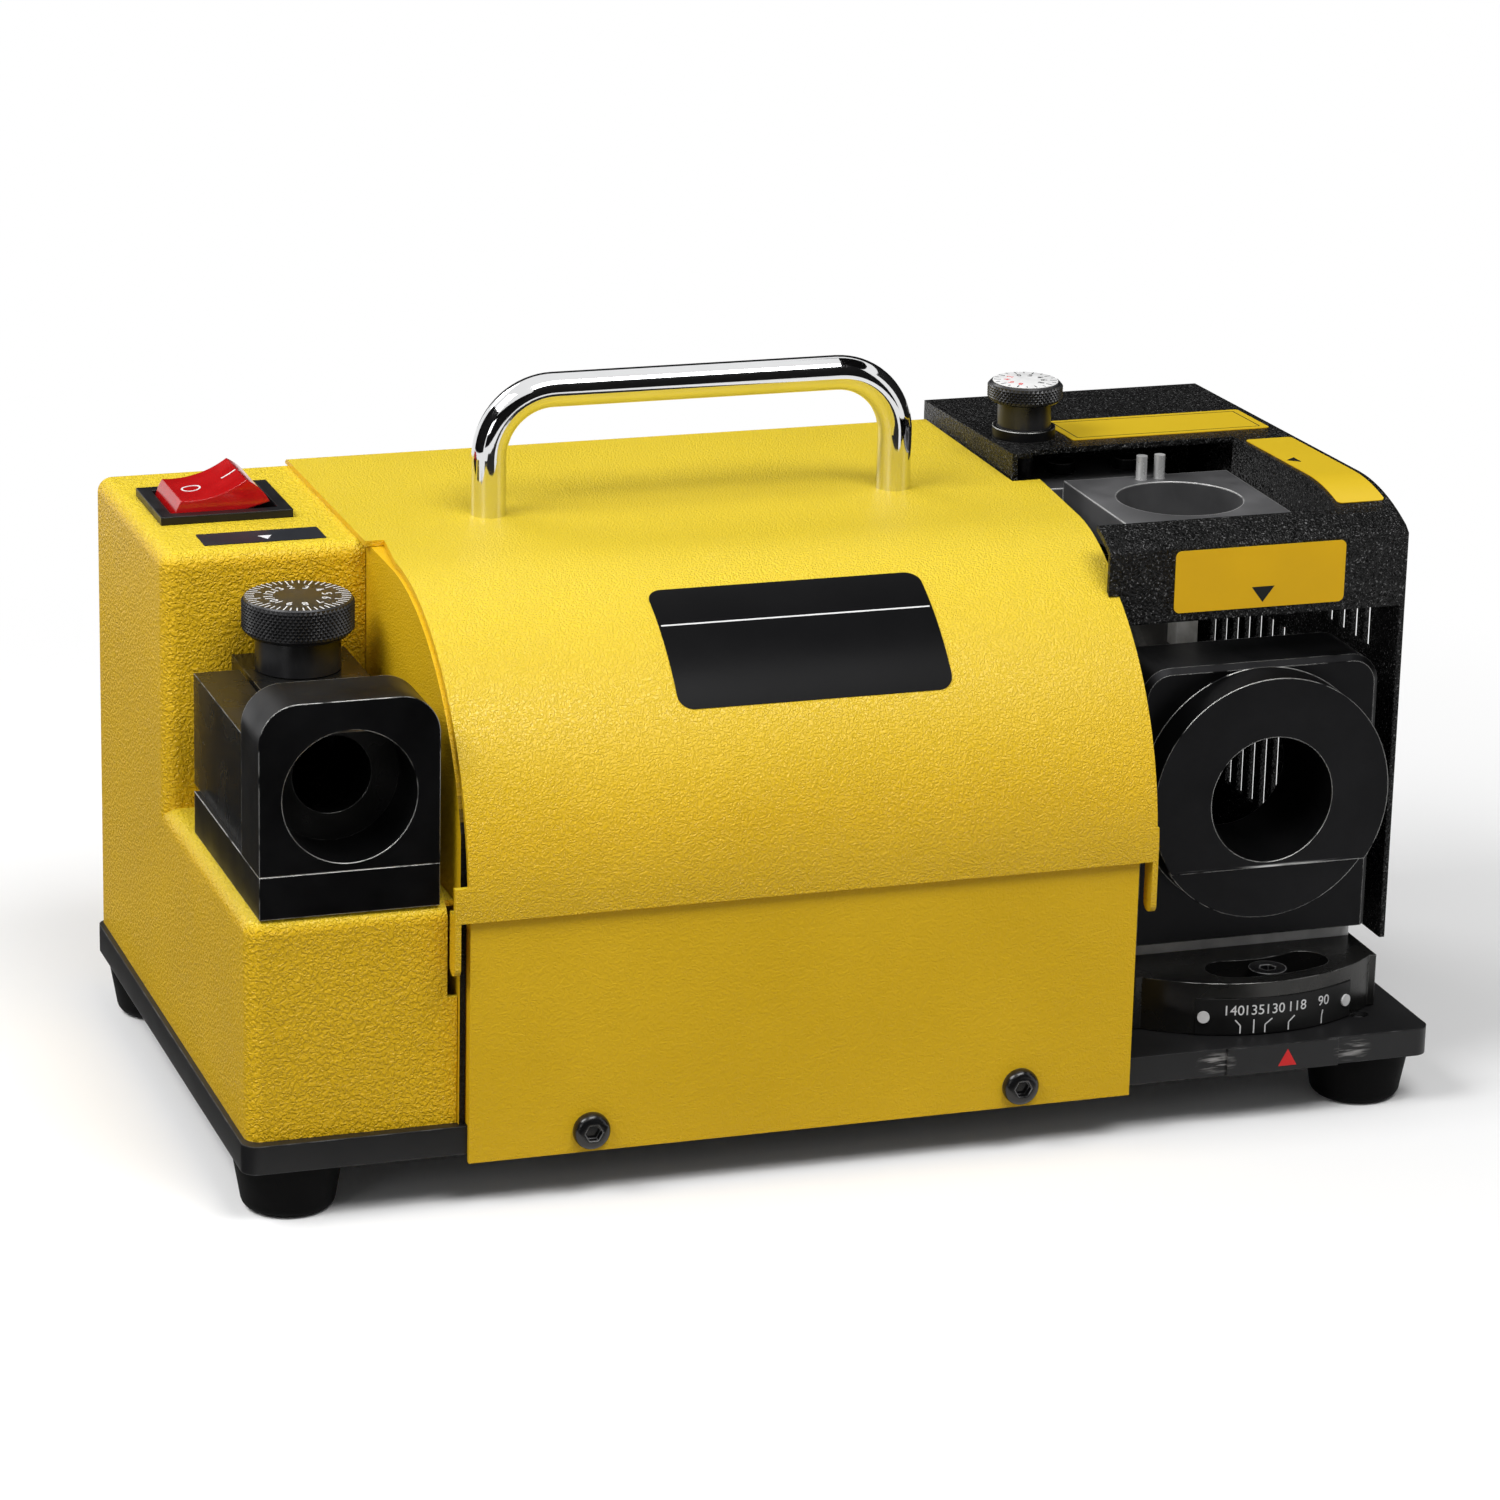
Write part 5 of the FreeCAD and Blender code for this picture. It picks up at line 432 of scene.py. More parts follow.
# Power switch: a snap-in rocker switch with a black moulded bezel and a clear red rocker.
# The rocker is printed with a ring for off and a bar for on.
bezel_black = finish(
    "bezel_black", dark=(0.008, 0.008, 0.009), light=(0.013, 0.013, 0.014), rough=(0.28, 0.38),
    patch=150.0, gloss=0.3, grain=(0.0005, 0.000008), edge=0.0005)
dress(bezel_black, "switch_body")
rocker_red = finish(
    "rocker_red", dark=(0.62, 0.006, 0.008), light=(0.74, 0.012, 0.014), rough=(0.12, 0.20),
    patch=120.0, gloss=0.4, grain=(0.0010, 0.000008), edge=0.0005)
rocker_skin = rocker_red.node_tree.nodes["Principled BSDF"]
rocker_skin.inputs["Transmission Weight"].default_value = 0.35
rocker_skin.inputs["Coat Weight"].default_value = 0.2
dress(rocker_red, "switch_rocker")

LIFT = 0.00003           # how far a laid mark stands off what is under it
ROCKER_PRINT = 0.00005
ROCKER_AT = Vector((-0.135, 0.0474, 0.175))
RING_X = -0.0062
BAR_X = 0.0044


def lay_on(piece, under, thickness, lift=LIFT):
    """Drop a flat piece on a machine piece from above and give it its thickness."""
    use_modifier(piece, "SHRINKWRAP", target=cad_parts[under], wrap_method="PROJECT",
                 use_project_z=True, use_negative_direction=True, use_positive_direction=False,
                 offset=lift)
    thicken(piece, thickness)


def keep_rim(piece, width):
    """Cut the middle out of a flat piece and keep its rim."""
    pick(piece)
    bpy.ops.object.mode_set(mode="EDIT")
    bpy.ops.mesh.select_all(action="SELECT")
    bpy.ops.mesh.inset(thickness=width)
    bpy.ops.mesh.delete(type="FACE")
    bpy.ops.object.mode_set(mode="OBJECT")


bpy.ops.object.select_all(action="DESELECT")
bpy.ops.mesh.primitive_circle_add(vertices=40, radius=0.0026, fill_type="NGON")
off_ring = bpy.context.object
off_ring.name = "off_ring"
keep_rim(off_ring, 0.0005)
carry(off_ring, lambda u, v, w: ROCKER_AT + Vector((RING_X + u, v, w)))
lay_on(off_ring, "switch_rocker", ROCKER_PRINT)
settle(off_ring, print_white, "rocker")
on_bar = flat_film("on_bar", width=0.0006, height=0.0050, corner=0.0001, strips=4)
carry(on_bar, lambda u, v, w: ROCKER_AT + Vector((BAR_X + v, -u, w)))
lay_on(on_bar, "switch_rocker", ROCKER_PRINT)
settle(on_bar, print_white, "rocker")

# Setting port: milled steel blocks screwed to the housing's ledge, blackened in a hot bath.
# Milling lines show on the faces and the edges are paler, partly rubbed bright and partly painted
# highlight.
port_black = finish(
    "port_black", dark=(0.006, 0.006, 0.0065), light=(0.014, 0.014, 0.015), rough=(0.32, 0.50),
    patch=55.0, metal=0.8, gloss=0.3, grain=(0.0005, 0.000014), stretch=(14, 1, 1), edge=0.0005,
    worn_and_lit=((0.60, 0.60, 0.58), 0.72))
dress(port_black, "setting_base", "setting_socket")
block_black = finish(
    "block_black", dark=(0.030, 0.030, 0.029), light=(0.050, 0.049, 0.047), rough=(0.20, 0.32),
    patch=70.0, metal=0.8, gloss=0.3, grain=(0.0005, 0.000020), stretch=(1, 1, 16), edge=0.0004,
    worn_and_lit=((0.32, 0.32, 0.31), 0.55))
dress(block_black, "setting_body", "setting_cam")

# Setting dial: a turned steel knob, blackened, with a diamond knurl round its rim.
# Its face is engraved with a ring of lines and numbers, filled with white.
KNURL = 0.0006      # depth of the knurl
HAIR = 1e-6         # less than any step in a knob's height
UNDERSIDE = -0.9    # a face whose normal's height is less looks down


def knurled_knob(name, centre, radius, floor, top, teeth, rows, foot_cut, head_cut, stems):
    """A turned knob with a diamond knurl between two chamfers, on a stem that steps down."""
    bpy.ops.object.select_all(action="DESELECT")
    bpy.ops.mesh.primitive_cylinder_add(vertices=2 * teeth, radius=radius, depth=top - floor,
                                        end_fill_type="NGON",
                                        location=(0.0, 0.0, (top + floor) / 2))
    knob = bpy.context.object
    knob.name = name
    bpy.ops.object.transform_apply(location=True)
    low = floor + foot_cut
    high = top - head_cut
    bpy.ops.object.mode_set(mode="EDIT")
    for i in range(rows + 1):
        bpy.ops.mesh.select_all(action="SELECT")
        bpy.ops.mesh.bisect(plane_co=(0.0, 0.0, low + (high - low) * i / rows),
                            plane_no=(0.0, 0.0, 1.0))
    bpy.ops.object.mode_set(mode="OBJECT")
    for vertex in knob.data.vertices:
        x, y, z = vertex.co
        tooth = round(math.atan2(y, x) * teeth / math.pi)
        row = round((z - low) / (high - low) * rows)
        reach = radius
        if z < low - HAIR:
            reach = radius - KNURL - foot_cut
        elif z > high + HAIR:
            reach = radius - KNURL - head_cut
        elif row in (0, rows) or (tooth + row) % 2:
            reach = radius - KNURL
        scale = reach / math.hypot(x, y)
        vertex.co = (x * scale, y * scale, z)
    for polygon in knob.data.polygons:
        polygon.select = low < polygon.center.z < high
    bpy.ops.object.mode_set(mode="EDIT")
    bpy.ops.mesh.quads_convert_to_tris(quad_method="SHORTEST_DIAGONAL")
    bpy.ops.mesh.select_all(action="DESELECT")
    bpy.ops.object.mode_set(mode="OBJECT")
    for polygon in knob.data.polygons:
        polygon.select = polygon.normal.z < UNDERSIDE
    bpy.ops.object.mode_set(mode="EDIT")
    wide, level = radius - KNURL - foot_cut, floor
    for stem_radius, stem_floor in stems:
        bpy.ops.mesh.inset(thickness=wide - stem_radius)
        bpy.ops.mesh.extrude_region_move(
            TRANSFORM_OT_translate={"value": (0.0, 0.0, stem_floor - level)})
        wide, level = stem_radius, stem_floor
    bpy.ops.object.mode_set(mode="OBJECT")
    carry(knob, lambda u, v, w: Vector((centre[0] + u, centre[1] + v, w)))
    return knob


def on_disc(centre, level, degrees, reach):
    """A place on a dial's face: u runs round it and v outwards, from a reach off its middle."""
    turn = math.radians(degrees)
    out = Vector((math.cos(turn), math.sin(turn), 0.0))
    side = Vector((math.sin(turn), -math.cos(turn), 0.0))
    middle = Vector((centre[0], centre[1], level))
    return lambda u, v, w: middle + side * u + out * (v + reach) + Vector((0.0, 0.0, w))


FIGURE = 0.00003    # half the thickness of a printed figure


def figures(text, height):
    """Plain figures as a thin mesh on the flat, about their own middle."""
    bpy.ops.object.select_all(action="DESELECT")
    bpy.ops.object.text_add()
    sign = bpy.context.object
    sign.data.body = text
    sign.data.size = height
    sign.data.align_x = "CENTER"
    sign.data.align_y = "CENTER"
    sign.data.extrude = FIGURE
    sign.data.resolution_u = 4
    bpy.ops.object.convert(target="MESH")
    number = bpy.context.object
    carry(number, lambda u, v, w: (u, v, w + FIGURE))
    return number


def join(name, pieces):
    """Make one piece of several."""
    bpy.ops.object.select_all(action="DESELECT")
    for piece in pieces:
        piece.select_set(True)
    bpy.context.view_layer.objects.active = pieces[0]
    bpy.ops.object.join()
    pieces[0].name = name
    return pieces[0]


def tick(width, length):
    """A short printed line along V with its own thickness."""
    line = flat_film("tick", width, length, corner=width * 0.2, strips=1)
    thicken(line, PRINT)
    return line


def ring_of_lines(centre, level, count, every, width, lengths, rim):
    """Lines round a dial's face that end at the same rim, long ones among short ones."""
    made = []
    for step in range(count):
        length = lengths[0] if step % every == 0 else lengths[1]
        line = tick(width, length)
        carry(line, on_disc(centre, level, 90 - 360 / count * step, rim - length / 2))
        made.append(line)
    return made


def ring_of_figures(centre, level, signs, height, reach):
    """Figures round a dial's face, each with its own turn in degrees."""
    made = []
    for text, degrees in signs:
        number = figures(text, height)
        carry(number, on_disc(centre, level, degrees, reach))
        made.append(number)
    return made


DIAL_LOW, DIAL_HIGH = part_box("setting_dial")
DIAL_AT = ((DIAL_LOW[0] + DIAL_HIGH[0]) / 2, (DIAL_LOW[1] + DIAL_HIGH[1]) / 2)
DIAL_TOP = DIAL_HIGH[2]
DIAL_SIGNS = [(str(step + 2), 90 - 30 * step) for step in range(12)]
knob_black = finish(
    "knob_black", dark=(0.012, 0.012, 0.013), light=(0.026, 0.026, 0.028), rough=(0.26, 0.38),
    patch=120.0, metal=0.2, gloss=0.5, grain=(0.0004, 0.000008))
setting_knob = knurled_knob(
    "setting_knob", DIAL_AT, radius=0.0145, floor=DIAL_TOP - 0.0097, top=DIAL_TOP,
    teeth=66, rows=10, foot_cut=0.0011, head_cut=0.0004,
    stems=((0.0110, DIAL_TOP - 0.0187), (0.0040, DIAL_LOW[2])))
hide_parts("setting_dial")
settle(setting_knob, knob_black, "setting_knob")
dial_marks = ring_of_lines(DIAL_AT, DIAL_TOP, count=48, every=4, width=0.00034,
                           lengths=(0.0038, 0.0024), rim=0.0135)
dial_marks += ring_of_figures(DIAL_AT, DIAL_TOP, DIAL_SIGNS, height=0.0036, reach=0.0074)
settle(join("setting_dial_marks", dial_marks), print_white, "setting_knob")

# Carrying handle: one steel bar, bent twice, polished and chromed.
# It is tapped at both feet and screwed up through the cover.
handle_chrome = finish(
    "handle_chrome", dark=(0.74, 0.745, 0.75), light=(0.80, 0.805, 0.81), rough=(0.035, 0.075),
    patch=60.0, metal=1.0, grain=(0.0040, 0.00001))
dress(handle_chrome, "carry_handle")


# Wheel hood: folded sheet steel in a black wrinkle coat with coarse glossy grains, with pale specks
# painted on their tips as painted glints. It covers the grinding wheel and is screwed to the
# bulkhead and the base.
def paint_grain_glints(mat, size, tip, glint_colour):
    """Paint pale glints on a coat's grains where the noise that they follow is at its tips."""
    tree = mat.node_tree
    grains = noise(tree, object_place(tree), 1.0 / size, 1.0, PEBBLE_TWIST)
    tint(tree, ramp(tree, grains, *tip), glint_colour)


hood_wrinkle = finish(
    "hood_wrinkle", dark=(0.0025, 0.0025, 0.0025), light=(0.005, 0.005, 0.005), rough=(0.14, 0.22),
    patch=30.0, gloss=0.18, pebble=(0.0008, 0.00042), edge=0.0008)
# painted highlight: pale specks on the grain tips stand in for the glints of light on the wrinkle
# coat
paint_grain_glints(hood_wrinkle, size=0.00055, tip=(0.63, 0.72), glint_colour=(0.17, 0.17, 0.17))
dress(hood_wrinkle, "wheel_hood")

# Hood films: yellow printed films with rounded corners and small black pointers.
# One is on the apron, one on the rear of the top and one follows the right shoulder.
film_yellow = finish(
    "film_yellow", dark=(0.79, 0.450, 0.006), light=(0.85, 0.490, 0.008), rough=(0.28, 0.36),
    patch=50.0, gloss=0.22, grain=(0.0012, 0.00001))
# painted light: film faces that look up take a lemon tone, milder than on the coats, standing in
# for the top light on them
paint_top_lighting(film_yellow, (0.68, 0.465, 0.018))
print_black = finish(
    "print_black", dark=(0.006, 0.006, 0.006), light=(0.010, 0.010, 0.010), rough=(0.35, 0.45),
    patch=300.0, gloss=0.2, grain=(0.0004, 0.000004))
HOOD_LOW, HOOD_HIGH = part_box("wheel_hood")
ABOVE_HOOD = HOOD_HIGH[2] + 0.01
APRON_AT = (0.1171, 0.1402)         # across and up
APRON_MARK = (0.0009, -0.0048)
TOP_AT = (0.1275, 0.0395)           # across and back
SHOULDER_AT = (0.1505, -0.0150)
SHOULDER_MARK = (-0.0042, 0.0050)
SHOULDER_LIFT = FILM + 0.00016      # clears the film where it bends over the shoulder


def on_apron(u, v, w):
    """A place on the apron's front face."""
    return Vector((APRON_AT[0] + u, HOOD_LOW[1] - w, APRON_AT[1] + v))


def on_top(u, v, w):
    """A place above the rear of the hood's top."""
    return Vector((TOP_AT[0] + u, TOP_AT[1] + v, ABOVE_HOOD + w))


def on_shoulder(u, v, w):
    """A place above the hood's right shoulder."""
    return Vector((SHOULDER_AT[0] + u, SHOULDER_AT[1] + v, ABOVE_HOOD + w))


apron_film = flat_film("apron_film", width=0.0478, height=0.0166, corner=0.0016, strips=2)
stick(apron_film, on_apron, FILM, film_yellow)
apron_arrow = arrow("apron_arrow", width=0.0064, height=0.0042)
stick(apron_arrow, lambda u, v, w: on_apron(u + APRON_MARK[0], v + APRON_MARK[1], w + FILM),
      PRINT, print_black)
top_film = flat_film("top_film", width=0.058, height=0.023, corner=0.0012, strips=6)
carry(top_film, on_top)
lay_on(top_film, "wheel_hood", FILM)
settle(top_film, film_yellow, "frame")
top_line = flat_film("top_line", width=0.054, height=0.019, corner=0.0004, strips=2)
keep_rim(top_line, 0.0003)
carry(top_line, on_top)
lay_on(top_line, "wheel_hood", PRINT, FILM + LIFT)
settle(top_line, print_black, "frame")
shoulder_film = flat_film("shoulder_film", width=0.0135, height=0.0615, corner=0.0014, strips=30)
carry(shoulder_film, on_shoulder)
lay_on(shoulder_film, "wheel_hood", FILM)
settle(shoulder_film, film_yellow, "frame")
shoulder_arrow = arrow("shoulder_arrow", width=0.0050, height=0.0030)
carry(shoulder_arrow, lambda u, v, w: on_shoulder(v + SHOULDER_MARK[0], u + SHOULDER_MARK[1], w))
lay_on(shoulder_arrow, "wheel_hood", PRINT, SHOULDER_LIFT)
settle(shoulder_arrow, print_black, "frame")

# Thinning port: a milled steel block in the hood's window, with a bore for the chuck and two
# bright locating pins. It slides on two posts and a screw lifts it.
port_grey = finish(
    "port_grey", dark=(0.085, 0.085, 0.088), light=(0.15, 0.15, 0.154), rough=(0.40, 0.55),
    patch=60.0, metal=0.5, grain=(0.0005, 0.000014), stretch=(14, 1, 1), edge=0.0008,
    worn_and_lit=((0.62, 0.62, 0.61), 0.9))
dress(port_grey, "thinning_port")
dress(port_black, "thinning_bracket", "dial_collar", "guide_posts")
pin_steel = finish(
    "pin_steel", dark=(0.66, 0.66, 0.66), light=(0.80, 0.80, 0.79), rough=(0.20, 0.34),
    patch=160.0, metal=0.55, grain=(0.0004, 0.00001), stretch=(1, 1, 10))
dress(pin_steel, "locating_pins")
# painted light: the stop is coloured paler than its steel so that, in the deep shade under the
# apron, it shows as lit bright steel
stop_painted_light = finish(
    "stop_painted_light", dark=(0.40, 0.39, 0.36), light=(0.66, 0.65, 0.62), rough=(0.35, 0.5),
    patch=220.0, metal=0.2, grain=(0.0005, 0.00003), stretch=(1, 1, 8), edge=0.0004,
    worn_and_lit=((0.75, 0.75, 0.73), 0.9))
dress(stop_painted_light, "thinning_stop")

# Thinning dial: a small turned knob with a knurled rim and a white printed face.
# Its screw sets how far the port stands from the wheel.
THIN_LOW, THIN_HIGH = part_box("thinning_dial")
THIN_AT = ((THIN_LOW[0] + THIN_HIGH[0]) / 2, (THIN_LOW[1] + THIN_HIGH[1]) / 2)
THIN_TOP = THIN_HIGH[2]
FACE_THICK = 0.0003
THIN_FACE = THIN_TOP + FACE_THICK
BLACK_SIGNS = [(str(2 * step), 90 - 36 * step) for step in range(5)]
RED_SIGNS = [(str(2 * step), 90 + 36 * step) for step in range(1, 5)]
thinning_knob = knurled_knob(
    "thinning_knob", THIN_AT, radius=0.0103, floor=THIN_TOP - 0.0052, top=THIN_TOP,
    teeth=50, rows=6, foot_cut=0.0005, head_cut=0.0004,
    stems=((0.0073, THIN_TOP - 0.0190), (0.0030, THIN_LOW[2])))
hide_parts("thinning_dial")
settle(thinning_knob, knob_black, "thinning_knob")
bpy.ops.object.select_all(action="DESELECT")
bpy.ops.mesh.primitive_cylinder_add(vertices=72, radius=0.0089, depth=FACE_THICK,
                                    location=(*THIN_AT, THIN_TOP + FACE_THICK / 2))
dial_face = bpy.context.object
dial_face.name = "thinning_face"
bpy.ops.object.transform_apply(location=True)
use_modifier(dial_face, "BEVEL", width=0.00012, segments=2, limit_method="ANGLE")
settle(dial_face, print_white, "thinning_knob")
thin_marks = ring_of_lines(THIN_AT, THIN_FACE, count=20, every=2, width=0.00028,
                           lengths=(0.0019, 0.0011), rim=0.00855)
thin_marks += ring_of_figures(THIN_AT, THIN_FACE, BLACK_SIGNS, height=0.0026, reach=0.0049)
settle(join("thinning_dial_marks", thin_marks), print_black, "thinning_knob")
print_red = finish(
    "print_red", dark=(0.66, 0.012, 0.014), light=(0.76, 0.02, 0.02), rough=(0.35, 0.45),
    patch=300.0, gloss=0.4, grain=(0.0004, 0.000004))
red_marks = ring_of_figures(THIN_AT, THIN_FACE, RED_SIGNS, height=0.0026, reach=0.0049)
settle(join("thinning_dial_red", red_marks), print_red, "thinning_knob")

# Angle holder: a milled steel block with a round boss and a bore, on a foot and a sector that
# swivel under the wheel. It is blackened, with pale edges that are partly rubbed and partly painted
# highlight, and a painted highlight runs along the boss's ledge. The foot is bright steel, coloured
# paler than that steel so that its shaded face shows as lit, which is painted light.
HOLDER_LOW, HOLDER_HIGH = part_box("angle_holder")
HOLDER_X = (HOLDER_LOW[0] + HOLDER_HIGH[0]) / 2
LEDGE_LEVEL = HOLDER_HIGH[2] - 0.0528
# painted highlight: a pale streaked line along the boss's ledge stands in for the light caught by
# that step
scuff_and_highlight(port_black, pale_tone=(0.75, 0.75, 0.74), spot=(HOLDER_X, HOLDER_LOW[1], LEDGE_LEVEL),
      reach=(0.045, 0.0030, 0.0009), streak=(0.020, 0.002, 0.0010))
dress(port_black, "angle_holder")
dress(block_black, "swivel_sector")
# painted light: the foot is coloured near white, paler than its steel, so that its face in the
# boss's shadow shows as lit
foot_painted_light = finish(
    "foot_painted_light", dark=(0.70, 0.70, 0.70), light=(0.94, 0.94, 0.93), rough=(0.34, 0.52),
    patch=160.0, grain=(0.0006, 0.00003), stretch=(10, 1, 1), edge=0.0005,
    worn_and_lit=((0.92, 0.92, 0.91), 0.8))
dress(foot_painted_light, "holder_foot")

# Angle scale: a thin black plate riveted round the sector's rim, printed with the point angles.
# The pointer on the base's edge is marked with a red arrow.
scale_black = finish(
    "scale_black", dark=(0.006, 0.006, 0.006), light=(0.010, 0.010, 0.010), rough=(0.34, 0.46),
    patch=80.0, gloss=0.2, grain=(0.0005, 0.000008), edge=0.0003)
dress(scale_black, "scale_plate")
dress(print_white, "scale_rivets")
PIVOT_LOW, PIVOT_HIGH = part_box("pivot_pin")
SCALE_AT = ((PIVOT_LOW[0] + PIVOT_HIGH[0]) / 2, (PIVOT_LOW[1] + PIVOT_HIGH[1]) / 2)
SCALE_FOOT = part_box("scale_plate")[0]
SCALE_RADIUS = SCALE_AT[1] - SCALE_FOOT[1]
FIGURE_UP = 0.0067
LEG_UP = 0.0015
LEG_LONG = 0.0022
LEADER_UP = 0.0026
LEADER_RISE = 0.0016
LEADER_SHARE = 0.75                 # how far a leader runs from its leg towards its figure
SCALE_LINE = 0.00035
POINTER_MARK = (0.1187, 0.0179)     # across and up
# each point angle, and the degrees from the middle of its figure and of its leg
POINT_ANGLES = [("140", -12.5, -10.3), ("135", -6.15, -6.15), ("130", 0.4, -2.6),
                ("118", 7.8, 5.1), ("90", 17.6, 17.1)]


def on_scale(degrees, up):
    """A place on the scale's round face, at a height above its foot."""
    turn = math.radians(degrees)

    def spot(u, v, w):
        lean = turn + u / SCALE_RADIUS
        reach = SCALE_RADIUS + w
        return Vector((SCALE_AT[0] + reach * math.sin(lean), SCALE_AT[1] - reach * math.cos(lean),
                       SCALE_FOOT[2] + up + v))
    return spot


scale_marks = []
for text, at, foot in POINT_ANGLES:
    number = figures(text, 0.0039)
    carry(number, on_scale(at, FIGURE_UP))
    leg = tick(SCALE_LINE, LEG_LONG)
    carry(leg, on_scale(foot, LEG_UP))
    run = math.radians(at - foot) * SCALE_RADIUS * LEADER_SHARE
    length = math.hypot(run, LEADER_RISE)
    across, along = LEADER_RISE / length, run / length
    leader = tick(SCALE_LINE, length)
    carry(leader, lambda u, v, w: (u * across + (v + length / 2) * along,
                                   (v + length / 2) * across - u * along, w))
    carry(leader, on_scale(foot, LEADER_UP))
    scale_marks += [number, leg, leader]
settle(join("scale_marks", scale_marks), print_white, "point_holder")
pointer_arrow = arrow("pointer_arrow", width=0.0052, height=0.0046)
for polygon in pointer_arrow.data.polygons:
    polygon.select = True
bpy.ops.object.mode_set(mode="EDIT")
bpy.ops.mesh.flip_normals()
bpy.ops.object.mode_set(mode="OBJECT")
stick(pointer_arrow,
      lambda u, v, w: Vector((POINTER_MARK[0] + u, POINTER_LOW[1] - w, POINTER_MARK[1] - v)),
      PRINT, print_red)

# Studio: a wide pale floor under an even white sky, with broad lamps above and behind and a soft
# one in front. Dark cards round the machine give the chrome and the blackened steel their contrast.
scene = bpy.context.scene
scene.view_settings.view_transform = "Standard"
FLOOR_GIVES = (0.30, 0.30, 0.30, 1.0)
FLOOR_SHOWS = (0.93, 0.93, 0.93, 1.0)
FLOOR_WHITENS = (0.18, 0.50)    # from the machine's middle, where the floor turns to plain white
SKY_GIVES = 0.22
SKY_SHOWS = 1.0


def is_seen(tree):
    """One where the studio is seen, also in a reflection or a clear piece, and nought for light."""
    ray = node(tree, "LightPath", {}).outputs
    shown = maths(tree, "MAXIMUM", ray["Is Camera Ray"], ray["Is Glossy Ray"])
    return maths(tree, "MAXIMUM", shown, ray["Is Transmission Ray"])


bpy.ops.object.select_all(action="DESELECT")
bpy.ops.mesh.primitive_plane_add(size=12.0)
floor = bpy.context.object
floor.name = "studio_floor"
paper = bpy.data.materials.new("studio_paper")
paper.use_nodes = True
tree = paper.node_tree
skin = tree.nodes["Principled BSDF"]
skin.inputs["Roughness"].default_value = 0.9
skin.inputs["Specular IOR Level"].default_value = 0.1
seen = is_seen(tree)
tree.links.new(blend(tree, seen, FLOOR_GIVES, FLOOR_SHOWS), skin.inputs["Base Color"])
spread = node(tree, "VectorMath", {0: object_place(tree)}, operation="LENGTH").outputs["Value"]
far = ramp(tree, spread, *FLOOR_WHITENS, interpolation_type="SMOOTHSTEP")
glow = node(tree, "Emission", {"Strength": 1.0})
lit = node(tree, "MixShader", {0: maths(tree, "MULTIPLY", far, seen), 1: skin.outputs["BSDF"],
                               2: glow.outputs["Emission"]})
tree.links.new(lit.outputs["Shader"], tree.nodes["Material Output"].inputs["Surface"])
floor.data.materials.append(paper)

sky = bpy.data.worlds.new("studio_sky")
scene.world = sky
sky.use_nodes = True
tree = sky.node_tree
dome = tree.nodes["Background"]
dome.inputs["Color"].default_value = (1.0, 1.0, 1.0, 1.0)
tree.links.new(ramp(tree, is_seen(tree), 0.0, 1.0, SKY_GIVES, SKY_SHOWS), dome.inputs["Strength"])


def facing(place, aim):
    """The turn that points a lamp or a card at a spot."""
    return (Vector(aim) - Vector(place)).to_track_quat("-Z", "Y").to_euler()


LOW_AIM = (0.0, 0.0, 0.1)
HIGH_AIM = (0.0, 0.0, 0.2)
BROAD = (0.8, 0.6)
SMALL = (0.4, 0.4)


def lamp(name, place, size, power):
    """A soft box pointed at the machine."""
    light = bpy.data.lights.new(name, "AREA")
    light.shape = "RECTANGLE"
    light.size, light.size_y = size
    light.energy = power
    holder = bpy.data.objects.new(name, light)
    scene.collection.objects.link(holder)
    holder.location = place
    holder.rotation_euler = facing(place, LOW_AIM)


lamp("lamp_left", (-0.95, -0.25, 1.20), BROAD, 14.0)
lamp("lamp_right", (0.20, -0.75, 1.35), BROAD, 12.8)
lamp("lamp_front", (-1.3, -1.1, 0.6), SMALL, 1.2)
lamp("lamp_back", (-0.80, 1.20, 1.20), BROAD, 7.0)

card_black = bpy.data.materials.new("card_black")
card_black.use_nodes = True
skin = card_black.node_tree.nodes["Principled BSDF"]
skin.inputs["Base Color"].default_value = (0.02, 0.02, 0.02, 1.0)
skin.inputs["Roughness"].default_value = 1.0
skin.inputs["Specular IOR Level"].default_value = 0.0


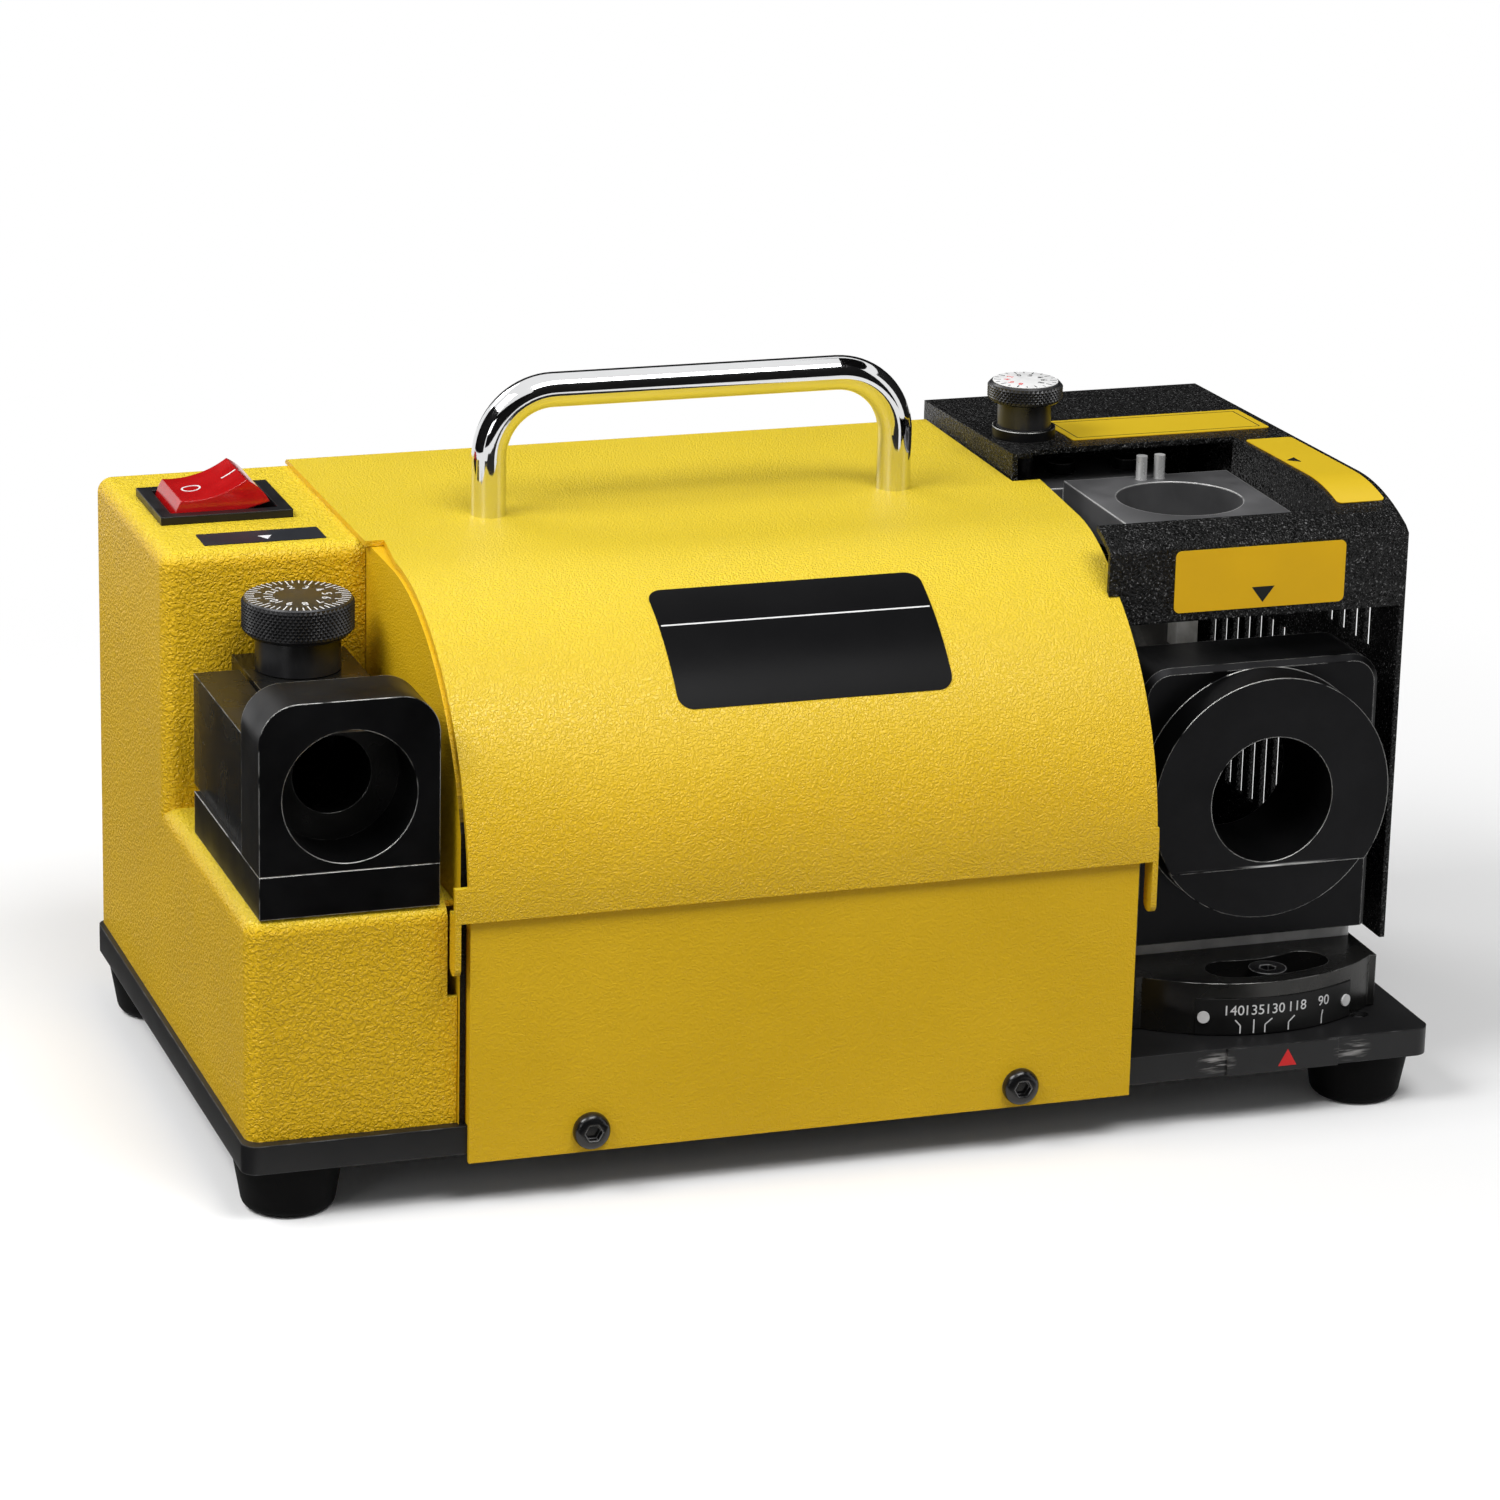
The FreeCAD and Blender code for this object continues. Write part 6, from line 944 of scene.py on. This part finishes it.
def card(name, place, aim, size):
    """A dark card that shows only in what is shiny."""
    bpy.ops.object.select_all(action="DESELECT")
    bpy.ops.mesh.primitive_plane_add(size=1.0, location=place, rotation=facing(place, aim))
    board = bpy.context.object
    board.name = name
    board.scale = (*size, 1.0)
    board.data.materials.append(card_black)
    board.visible_camera = False
    board.visible_diffuse = False
    board.visible_shadow = False


card("card_front", (-0.62, -1.80, 0.55), LOW_AIM, (2.6, 1.5))
card("card_near", (0.42, -1.05, 0.60), HIGH_AIM, (1.0, 1.25))
card("card_back", (0.55, 1.50, 0.60), LOW_AIM, (2.4, 1.3))
card("card_above", (0.75, -0.05, 1.20), (0.75, 0.0, 0.1), (0.6, 1.6))
card("card_left", (-1.05, 0.05, 0.45), HIGH_AIM, (1.5, 0.9))
card("card_right", (1.15, 0.15, 0.45), HIGH_AIM, (1.5, 0.9))
card("card_floor_left", (-0.365, 0.25, 0.003), (-0.365, 0.26, 1.0), (0.40, 1.0))
card("card_floor_front", (-0.135, -0.43, 0.003), (-0.135, -0.42, 1.0), (0.53, 0.66))

# Camera: a long lens at the height of a bench, to the left of the machine's front.
# It leans a little, as a hand-set tripod does.
CAMERA_AT = (-0.4561, -1.3259, 0.5400)
AZIMUTH = math.radians(-18.925)
ELEVATION = math.radians(18.011)
ROLL = math.radians(1.372)
back = Vector((math.sin(AZIMUTH) * math.cos(ELEVATION), -math.cos(AZIMUTH) * math.cos(ELEVATION),
               math.sin(ELEVATION)))
right = (-back).cross(Vector((0.0, 0.0, 1.0))).normalized()
down = (-back).cross(right)
leant_right = right * math.cos(ROLL) - down * math.sin(ROLL)
leant_down = right * math.sin(ROLL) + down * math.cos(ROLL)
lens = bpy.data.cameras.new("camera")
lens.lens = 133.571
lens.sensor_width = 36.0
camera = bpy.data.objects.new("camera", lens)
scene.collection.objects.link(camera)
turned = Matrix((leant_right, -leant_down, back)).transposed().to_4x4()
camera.matrix_world = Matrix.Translation(CAMERA_AT) @ turned
scene.camera = camera
